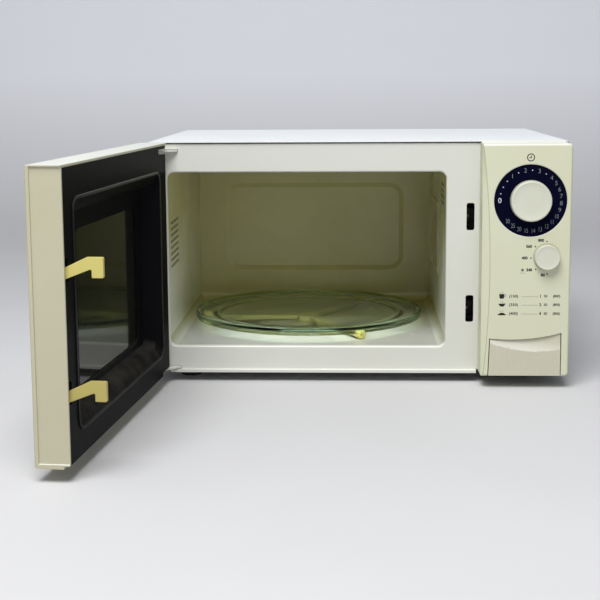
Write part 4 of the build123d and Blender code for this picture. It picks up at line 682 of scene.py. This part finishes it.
turntable = (-58.0, -6.5)
trayCut = {
    "center": (*turntable, 0.0),
    "steps": 160,
    "crease": 60,
    "top": [(0, 49.3), (60, 49.3), (102, 49.3), (106, 49.4), (108.5, 49.9), (110.2, 50.8),
            (111.6, 51.2), (113.2, 51.0), (116, 51.1), (122, 51.6), (128, 52.3), (131.4, 53.0),
            (133.0, 54.1), (134.3, 54.8), (135.8, 55.0)],
    "rim": [(137.0, 54.6), (137.7, 53.8), (138.0, 52.6), (138.0, 49.4), (137.8, 48.2),
            (137.2, 47.3), (136.2, 46.85)],
    "under": [(134.8, 46.8), (133.6, 47.2), (132.9, 48.2), (132.5, 49.6), (131.6, 50.3),
              (128, 50.35), (120, 50.35), (117.0, 50.2), (114.6, 49.6), (112.4, 48.8),
              (110.6, 48.3), (108.2, 48.1), (60, 48.1), (0, 48.1)],
}
cut = trayCut["top"] + trayCut["rim"] + trayCut["under"]
trayMesh = turned("glassDish", cut, trayCut["steps"], trayCut["center"], (0, 0, 1),
                  trayCut["crease"])
seat(addPiece("glassDish", trayMesh, finishes["trayGlass"]), "tray", "tray_glass", "glass_tray")

knobs = {
    "timerKnobTurned": {
        "node": "timer_knob", "body": "timer_dial", "center": (184.4, 0.0, 203.8), "steps": 120,
        "cut": [(0, 204.3), (12, 204.35), (18.6, 204.5), (19.4, 204.75), (20.0, 204.9),
                (20.7, 204.75), (21.2, 204.3), (21.45, 203.6), (21.6, 202.4), (22.0, 196.6),
                (21.8, 196.0), (21.2, 195.9), (4, 195.9), (4, 184.0), (0, 184.0)],
    },
    "powerKnobTurned": {
        "node": "power_knob", "body": "power_dial", "center": (202.4, 0.0, 144.0), "steps": 96,
        "cut": [(0, 204.0), (7, 204.05), (11.2, 204.15), (11.9, 204.35), (12.4, 204.5),
                (12.9, 204.35), (13.2, 203.9), (13.3, 203.2), (13.6, 197.2), (13.4, 196.6),
                (12.8, 196.5), (4, 196.5), (4, 184.0), (0, 184.0)],
    },
}
wheelCrease = 50
for knobName, knob in knobs.items():
    knobMesh = turned(knobName, knob["cut"], knob["steps"], knob["center"], (0, -1, 0), wheelCrease)
    piece = addPiece(knobName, knobMesh, finishes["knobWhite"])
    seat(piece, knob["body"], "white_plastic", knob["node"])

roller = {"inner": 119.0, "outer": 130.0, "center": (*turntable, 44.0), "steps": 40,
          "half": [(1.65, 0.3), (2.55, 0.0), (4.5, 0.0), (5.3, 0.35), (5.7, 1.2)],
          "angles": {"left": 180, "front": -60, "back": 60}}
cut = [(radius, roller["inner"] + inset) for radius, inset in roller["half"]]
cut += [(radius, roller["outer"] - inset) for radius, inset in roller["half"][::-1]]
cut.append(cut[0])
for name, angle in roller["angles"].items():
    outward = (math.cos(math.radians(angle)), math.sin(math.radians(angle)), 0)
    wheelName = name + "Wheel"
    wheelMesh = turned(wheelName, cut, roller["steps"], roller["center"], outward, wheelCrease)
    piece = addPiece(wheelName, wheelMesh, finishes["hookYellow"])
    seat(piece, name + "_roller", "latch_plastic", "roller_" + name)
print("turned pieces made")


def startTree(name, sizes):
    tree = bpy.data.node_groups.new(name, "GeometryNodeTree")
    tree.interface.new_socket(name="Places", in_out="INPUT", socket_type="NodeSocketGeometry")
    for label, value in sizes.items():
        kind = "NodeSocketInt" if isinstance(value, int) else "NodeSocketFloat"
        tree.interface.new_socket(name=label, in_out="INPUT", socket_type=kind)
    tree.interface.new_socket(name="Geometry", in_out="OUTPUT", socket_type="NodeSocketGeometry")
    wires = Wiring(tree)
    return wires, wires.add("NodeGroupInput").outputs, wires.add("NodeGroupOutput").inputs



def lifted(wires, geometry, height, turn=0.0):
    # geometry raised by a height and turned about its upright axis
    rise = wires.add("ShaderNodeCombineXYZ")
    wires.join(height, rise.inputs["Z"])
    move = wires.add("GeometryNodeTransform")
    move.inputs["Rotation"].default_value = (0.0, 0.0, turn)
    wires.join(geometry, move.inputs["Geometry"])
    wires.join(rise.outputs[0], move.inputs["Translation"])
    return move.outputs[0]


def endTree(wires, take, give, shape, turn, material):
    # the shape at every place, made real and given its finish
    spread = wires.add("GeometryNodeInstanceOnPoints")
    wires.join(take["Places"], spread.inputs["Points"])
    wires.join(shape, spread.inputs["Instance"])
    spread.inputs["Rotation"].default_value = turn
    real = wires.add("GeometryNodeRealizeInstances")
    wires.join(spread.outputs[0], real.inputs[0])
    coat = wires.add("GeometryNodeSetMaterial")
    coat.inputs["Material"].default_value = material
    wires.join(real.outputs[0], coat.inputs["Geometry"])
    wires.join(coat.outputs[0], give["Geometry"])


def grow(name, wires, sizes, places):
    mesh = bpy.data.meshes.new(name)
    mesh.from_pydata([tuple(v * mm for v in place) for place in places], [], [])
    piece = addPiece(name, mesh)
    modifier = piece.modifiers.new("grow", "NODES")
    modifier.node_group = wires.tree
    for item in wires.tree.interface.items_tree:
        if item.in_out == "INPUT" and item.name in sizes:
            modifier[item.identifier] = sizes[item.name]
    return bakeModifiers(piece)


# cross-head screws that hold the cover
screw = {"Head Radius": 4.0 * mm, "Crown Radius": 2.7 * mm, "Head Height": 2.2 * mm,
         "Head Sides": 28, "Slot Width": 0.8 * mm, "Slot Length": 4.4 * mm,
         "Slot Depth": 1.5 * mm, "Shank Radius": 1.6 * mm, "Shank Length": 7.5 * mm,
         "Shank Sides": 16}
screwPlaces = {"back": 165.0, "sides": (-223, 223), "levels": (54, 140, 226),
               "top": 259.0, "topRow": (-90, 90)}
wires, take, give = startTree("crossScrew", screw)
head = wires.shape("GeometryNodeMeshCone", Vertices=take["Head Sides"],
                   Radius_Top=take["Crown Radius"], Radius_Bottom=take["Head Radius"],
                   Depth=take["Head Height"])
cutter = wires.add("GeometryNodeMeshBoolean", operation="DIFFERENCE")
wires.join(head, cutter.inputs["Mesh 1"])
slotSize = wires.add("ShaderNodeCombineXYZ")
for label, source in (("X", "Slot Length"), ("Y", "Slot Width"), ("Z", "Slot Depth")):
    wires.join(take[source], slotSize.inputs[label])
for turn in (0.0, math.pi / 2):
    bar = wires.shape("GeometryNodeMeshCube", Size=slotSize.outputs[0])
    wires.join(lifted(wires, bar, take["Head Height"], turn), cutter.inputs["Mesh 2"])
shank = wires.shape("GeometryNodeMeshCylinder", Vertices=take["Shank Sides"],
                    Radius=take["Shank Radius"], Depth=take["Shank Length"])
sunk = lifted(wires, shank, wires.times(take["Shank Length"], -0.5))
whole = wires.add("GeometryNodeJoinGeometry")
wires.join(cutter.outputs["Mesh"], whole.inputs[0])
wires.join(sunk, whole.inputs[0])
endTree(wires, take, give, whole.outputs[0], (-math.pi / 2, 0.0, 0.0), finishes["zincSteel"])
places = [(x, screwPlaces["back"], z) for x in screwPlaces["sides"] for z in screwPlaces["levels"]]
places += [(x, screwPlaces["back"], screwPlaces["top"]) for x in screwPlaces["topRow"]]
seat(grow("crossScrews", wires, screw, places), "cabinet", "zinc_steel", "cover_screws")

# rubber feet with a grip groove, in levels of two radii and the share of the height they fill
foot = {"Sole Radius": 12.0 * mm, "Top Radius": 14.0 * mm, "Groove Radius": 12.1 * mm,
        "Foot Height": 14.0 * mm, "Sides": 40}
footLevels = [("Sole Radius", 1.0, "Sole Radius", 1.04, 0.0, 0.30),
              ("Groove Radius", 1.0, "Groove Radius", 1.0, 0.30, 0.36),
              ("Sole Radius", 1.07, "Top Radius", 0.97, 0.36, 0.80),
              ("Top Radius", 1.0, "Top Radius", 1.0, 0.80, 1.0)]
footPlaces = [(x, y, 0.0) for x in (-188, 188) for y in (-127, 127)]
wires, take, give = startTree("rubberFoot", foot)
stack = wires.add("GeometryNodeJoinGeometry")
for lowName, lowShare, highName, highShare, start, end in footLevels:
    level = wires.shape("GeometryNodeMeshCone", Vertices=take["Sides"],
                        Radius_Bottom=wires.times(take[lowName], lowShare),
                        Radius_Top=wires.times(take[highName], highShare),
                        Depth=wires.times(take["Foot Height"], end - start))
    raised = lifted(wires, level, wires.times(take["Foot Height"], start))
    wires.join(raised, stack.inputs[0])
endTree(wires, take, give, stack.outputs[0], (0.0, 0.0, 0.0), finishes["footRubber"])
seat(grow("rubberFeet", wires, foot, footPlaces), "cabinet", "foot_rubber", "feet")
print("repeated pieces grown")

ink = {"panelFace": -196.02, "ringFace": -195.42, "lift": 0.03, "layer": 0.001, "curveSteps": 3,
       "dotSides": 14}


def printedDots(name, radius, places, finishName):
    # flat discs that stand a hair proud of what carries them
    dot = {"Dot Radius": radius * mm, "Ink Height": ink["lift"] * mm, "Sides": ink["dotSides"]}
    wires, take, give = startTree(name + "Tree", dot)
    disc = wires.shape("GeometryNodeMeshCylinder", Vertices=take["Sides"],
                       Radius=take["Dot Radius"], Depth=take["Ink Height"])
    endTree(wires, take, give, disc, (math.pi / 2, 0.0, 0.0), finishes[finishName])
    return grow(name, wires, dot, places)


def numeral(work, text, size, x, z, face, bold, narrow=1.0):
    # a number as a thin flat solid, upright on a face that looks forward
    curve = bpy.data.curves.new("numeral", "FONT")
    curve.body = text
    curve.size = size * mm
    curve.align_x = "CENTER"
    curve.align_y = "CENTER"
    curve.extrude = ink["lift"] * 0.5 * mm
    curve.offset = bold * mm
    curve.resolution_u = ink["curveSteps"]
    temp = bpy.data.objects.new("numeral", curve)
    scene.collection.objects.link(temp)
    graph = bpy.context.evaluated_depsgraph_get()
    mesh = bpy.data.meshes.new_from_object(temp.evaluated_get(graph))
    bpy.data.objects.remove(temp)
    bpy.data.curves.remove(curve)
    place = Matrix.Translation((x * mm, face * mm, z * mm))
    squeeze = Matrix.Diagonal((narrow, 1.0, 1.0, 1.0))
    mesh.transform(place @ Matrix.Rotation(math.pi / 2, 4, "X") @ squeeze)
    work.from_mesh(mesh)
    bpy.data.meshes.remove(mesh)


def flatShape(work, outline, face):
    # a filled outline of (x, z) points as a thin flat solid
    sides = (face - ink["lift"] * 0.5, face + ink["lift"] * 0.5)
    skin(work, [[(x, y, z) for x, z in outline] for y in sides])


def strokeLine(work, points, width, face):
    # a drawn line of even width
    left, right = [], []
    for i, (x, z) in enumerate(points):
        ahead = Vector(points[min(i + 1, len(points) - 1)]) - Vector(points[max(i - 1, 0)])
        side = Vector((-ahead.y, ahead.x)).normalized() * width / 2
        left.append((x + side.x, z + side.y))
        right.append((x - side.x, z - side.y))
    flatShape(work, left + right[::-1], face)


def ringLine(work, x, z, radius, width, face, steps=40, start=0.0, sweep=360.0):
    turns = [math.radians(start + sweep * i / steps) for i in range(steps + 1)]
    points = [(x + radius * math.cos(turn), z + radius * math.sin(turn)) for turn in turns]
    strokeLine(work, points, width, face)


def moved(points, x, z):
    return [(x + a, z + b) for a, b in points]


def halfOval(reach, height, lift, start, steps=12):
    turns = [math.radians(start + 180 * i / steps) for i in range(steps + 1)]
    return [(reach * math.cos(turn), lift + height * math.sin(turn)) for turn in turns]


# timer scale: twenty-five places clockwise from nine o'clock
timerScale = {"x": 184.4, "z": 203.8, "radius": 32.4, "pitch": 13.22, "size": 6.8, "bold": -0.08,
              "pairWidth": 0.68, "zeroSize": 7.8, "zeroBold": 0.02, "dotRadius": 0.62,
              "marks": "0 . . . 1 . 2 . 3 . 4 5 6 7 8 9 10 11 12 13 14 15 20 25 30"}
face = ink["ringFace"]
work = bmesh.new()
nought = bmesh.new()
dotPlaces = []
for index, mark in enumerate(timerScale["marks"].split()):
    angle = math.radians(180 - timerScale["pitch"] * index)
    x = timerScale["x"] + timerScale["radius"] * math.cos(angle)
    z = timerScale["z"] + timerScale["radius"] * math.sin(angle)
    if mark == ".":
        dotPlaces.append((x, face, z))
    elif index == 0:
        numeral(nought, mark, timerScale["zeroSize"], x, z, face, timerScale["zeroBold"])
    else:
        width = 1.0 if len(mark) == 1 else timerScale["pairWidth"]
        numeral(work, mark, timerScale["size"], x, z, face, timerScale["bold"], width)
numbersMesh, noughtMesh = meshFrom(work, "scaleNumbers"), meshFrom(nought, "scaleNought")
seat(addPiece("scaleNumbers", numbersMesh, finishes["inkDim"]), "cabinet", "white_plastic")
seat(addPiece("scaleNought", noughtMesh, finishes["inkPale"]), "cabinet", "white_plastic")
scaleDots = printedDots("scaleDots", timerScale["dotRadius"], dotPlaces, "inkPale")
seat(scaleDots, "cabinet", "white_plastic")

# power scale with a star over a dish, then the clock sign
powerScale = {"size": 4.1, "bold": 0.19, "dotRadius": 0.8,
              "labels": [("800", 196.1, 161.5), ("560", 183.5, 155.0), ("400", 179.1, 142.6),
                         ("240", 184.2, 129.8), ("80", 198.7, 124.2)],
              "dots": [(202.3, 160.5), (190.3, 154.9), (185.7, 142.6), (191.0, 130.6),
                       (203.2, 125.5)]}
star = {"at": (177.1, 129.7), "reach": 1.9, "spokes": 3, "tilt": math.pi / 6, "line": 0.55,
        "dish": [(-2.3, -2.7), (-2.2, -3.2), (2.2, -3.2), (2.3, -2.7)], "dishLine": 0.3}
clockSign = {"at": (183.8, 249.6), "radius": 3.7, "line": 1.0, "handLine": 0.9,
             "hands": [[(0.4, 1.9), (0.4, -0.5)], [(-1.8, -0.3), (0.6, -0.3)]]}
face = ink["panelFace"]
work = bmesh.new()
for text, x, z in powerScale["labels"]:
    numeral(work, text, powerScale["size"], x, z, face, powerScale["bold"])
for spoke in range(star["spokes"]):
    angle = math.pi * spoke / star["spokes"] + star["tilt"]
    tip = Vector((math.cos(angle), math.sin(angle))) * star["reach"]
    strokeLine(work, moved([-tip, tip], *star["at"]), star["line"], face - ink["layer"] * spoke)
strokeLine(work, moved(star["dish"], *star["at"]), star["dishLine"], face)
ringLine(work, *clockSign["at"], clockSign["radius"], clockSign["line"], face)
for layer, hand in enumerate(clockSign["hands"]):
    points = moved(hand, *clockSign["at"])
    strokeLine(work, points, clockSign["handLine"], face - ink["layer"] * layer)

# the small cooking chart: a cup, a bowl and a plate, each steaming, and their numbers
chart = {"iconX": 155.9, "leader": (177.0, 193.4), "leaderDrop": 0.4, "count": 16, "dotRadius": 0.3,
         "columns": [{"x": 168.2, "size": 4.0, "bold": 0.09, "narrow": 1.15},
                     {"x": 196.6, "size": 4.4, "bold": 0.14},
                     {"x": 202.2, "size": 3.7, "bold": 0.1},
                     {"x": 213.8, "size": 3.7, "bold": 0.1}],
         "rows": {101.4: ("(150)", "1", "50", "(800)"), 92.1: ("(350)", "2", "50", "(800)"),
                  82.5: ("(400)", "4", "50", "(800)")}}
icons = {"cup": [(-3.0, 2.4), (-2.7, -1.9), (-2.0, -2.6), (1.4, -2.6), (2.1, -1.9), (2.4, 2.4)],
         "bowl": halfOval(3.3, 2.8, 0.8, 180),
         "bowlRim": [(-3.9, 0.7), (3.9, 0.9), (3.9, 1.5), (-3.9, 1.1)],
         "plate": [(-5.0, -0.5), (-3.2, -1.8), (3.2, -1.8), (5.0, -0.5)],
         "mound": halfOval(3.0, 1.5, -0.5, 0)}
cupEar = {"x": 2.5, "z": 0.6, "radius": 1.2, "width": 0.5, "steps": 16, "start": -90, "sweep": 180}
steam = {"rises": (3.1, 2.2, 1.9), "sides": (-1.3, 0.7), "line": 0.32,
         "wave": [(0.3 * math.sin(1.3 * i), 0.4 * i) for i in range(5)]}
iconX = chart["iconX"]
cupZ, bowlZ, plateZ = chart["rows"]
for name, rowZ, layer in (("cup", cupZ, 0), ("bowl", bowlZ, 0), ("bowlRim", bowlZ, 1),
                          ("plate", plateZ, 0), ("mound", plateZ, 1)):
    flatShape(work, moved(icons[name], iconX, rowZ), face - ink["layer"] * layer)
earPlace = {"x": iconX + cupEar["x"], "z": cupZ + cupEar["z"], "face": face - ink["layer"]}
ringLine(work, **{**cupEar, **earPlace})
for rowZ, rise in zip(chart["rows"], steam["rises"]):
    for side in steam["sides"]:
        strokeLine(work, moved(steam["wave"], iconX + side, rowZ + rise), steam["line"], face)
for rowZ, texts in chart["rows"].items():
    for text, column in zip(texts, chart["columns"]):
        numeral(work, text, z=rowZ, face=face, **column)

# painted shade: a darker line along the panel's crease, a bow through three points, and a painted
# shadow ring round the power knob
creaseShadeLine = {"bow": [(136.5, 14.5), (142.0, 165.0), (134.3, 262.0)], "steps": 24, "width": 0.7}
powerKnobShadowRing = {"x": 202.4, "z": 144.0, "radius": 14.1, "width": 0.7, "steps": 48}
foot, head = creaseShadeLine["bow"][0][1], creaseShadeLine["bow"][-1][1]
crease = []
for step in range(creaseShadeLine["steps"] + 1):
    z = foot + (head - foot) * step / creaseShadeLine["steps"]
    x = 0.0
    for knotX, knotZ in creaseShadeLine["bow"]:
        others = [other for _, other in creaseShadeLine["bow"] if other != knotZ]
        x += knotX * math.prod((z - other) / (knotZ - other) for other in others)
    crease.append((x, z))
shadeStrokes = bmesh.new()
strokeLine(shadeStrokes, crease, creaseShadeLine["width"], face)
ringLine(shadeStrokes, face=face, **powerKnobShadowRing)
linesMesh, printMesh = meshFrom(shadeStrokes, "panelShadeLines"), meshFrom(work, "panelPrint")
seat(addPiece("panelShadeLines", linesMesh, finishes["inkCrease"]), "cabinet", "ivory_plastic")
seat(addPiece("panelPrint", printMesh, finishes["inkBlack"]), "cabinet", "black_plastic")
dotPlaces = [(x, face, z) for x, z in powerScale["dots"]]
powerDots = printedDots("powerDots", powerScale["dotRadius"], dotPlaces, "inkBlack")
seat(powerDots, "cabinet", "black_plastic")
start, end = chart["leader"]
leaderRow = [start + (end - start) * i / (chart["count"] - 1) for i in range(chart["count"])]
leaderPlaces = [(x, face, z - chart["leaderDrop"]) for z in chart["rows"] for x in leaderRow]
chartLeaders = printedDots("chartLeaders", chart["dotRadius"], leaderPlaces, "inkBlack")
seat(chartLeaders, "cabinet", "black_plastic")
print("printing placed")

# a pale sheet that curves up behind
stageCut = {"front": -3.2, "bend": 1.1, "radius": 0.7, "top": 2.6, "half": 4.0, "steps": 12}
work = bmesh.new()
line = [(stageCut["front"], 0.0), (stageCut["bend"], 0.0)]
for step in range(1, stageCut["steps"] + 1):
    angle = math.radians(-90 + 90 * step / stageCut["steps"])
    line.append((stageCut["bend"] + stageCut["radius"] * math.cos(angle),
                 stageCut["radius"] + stageCut["radius"] * math.sin(angle)))
line.append((stageCut["bend"] + stageCut["radius"], stageCut["top"]))
left = [work.verts.new((-stageCut["half"], y, z)) for y, z in line]
right = [work.verts.new((stageCut["half"], y, z)) for y, z in line]
for i in range(len(line) - 1):
    work.faces.new((left[i], right[i], right[i + 1], left[i + 1]))
paperFade = {"Other": shade(247, 249, 255), "Full Z": 0.35, "None Z": 0.0}
paper = paint("sweepPaper", shade(206, 206, 208), shade(202, 202, 203), ageing=0.4, rough=0.7,
              peel=200.0, bump=0.03, layers=[("toneFade", paperFade)])
sweep = addPiece("paleSweep", meshFrom(work, "paleSweep"), paper)

# the room is brighter to the eye and in reflections than as a light
room = {"color": (0.95, 0.97, 1.0, 1.0), "asLight": 0.18, "asSeen": 0.6}
world = bpy.data.worlds.new("softRoom")
scene.world = world
world.use_nodes = True
wires = Wiring(world.node_tree)
world.node_tree.nodes.clear()
rays = wires.add("ShaderNodeLightPath").outputs
seen = wires.sum(rays["Is Camera Ray"], rays["Is Glossy Ray"], "MAXIMUM")
seen = wires.sum(seen, rays["Is Transmission Ray"], "MAXIMUM")
glow = wires.add("ShaderNodeBackground")
glow.inputs["Color"].default_value = room["color"]
strength = wires.spread(seen, band=(0.0, 1.0), out=(room["asLight"], room["asSeen"]))
wires.join(strength, glow.inputs["Strength"])
wires.join(glow.outputs[0], wires.add("ShaderNodeOutputWorld").inputs["Surface"])

lamps = {
    "overheadSoftbox": {"at": (-0.3, -1.3, 1.9), "aim": (0.0, -0.1, 0.1), "size": 1.2,
                        "watts": 54.0},
    "frontFill": {"at": (0.7, -2.6, 0.7), "aim": (0.0, -0.15, 0.15), "size": 1.6, "watts": 4.5},
}
for lampName, lamp in lamps.items():
    light = bpy.data.lights.new(lampName, "AREA")
    light.size = lamp["size"]
    light.energy = lamp["watts"]
    holder = bpy.data.objects.new(lampName, light)
    holder.location = lamp["at"]
    toward = Vector(lamp["aim"]) - Vector(lamp["at"])
    holder.rotation_euler = toward.to_track_quat("-Z", "Y").to_euler()
    scene.collection.objects.link(holder)

eye = {"at": (-0.0049, -1.53194, 0.33175), "yaw": -2.372, "pitch": 8.131, "roll": -0.36,
       "lens": 75.56, "sensor": 36.0, "rise": -0.0667}
yaw, pitch, roll = (math.radians(eye[k]) for k in ("yaw", "pitch", "roll"))
level = math.cos(pitch)
ahead = Vector((math.sin(yaw) * level, math.cos(yaw) * level, -math.sin(pitch)))
flatRight = Vector((math.cos(yaw), -math.sin(yaw), 0.0))
flatUp = flatRight.cross(ahead)
right = flatRight * math.cos(roll) + flatUp * math.sin(roll)
up = flatUp * math.cos(roll) - flatRight * math.sin(roll)
lens = bpy.data.cameras.new("photoCamera")
lens.lens = eye["lens"]
lens.sensor_width = eye["sensor"]
lens.shift_y = eye["rise"]
camera = bpy.data.objects.new("photoCamera", lens)
camera.matrix_world = Matrix((right, up, -ahead)).transposed().to_4x4()
camera.location = eye["at"]
scene.collection.objects.link(camera)
scene.camera = camera
scene.view_settings.view_transform = "Standard"
print("stage, lamps and camera set")
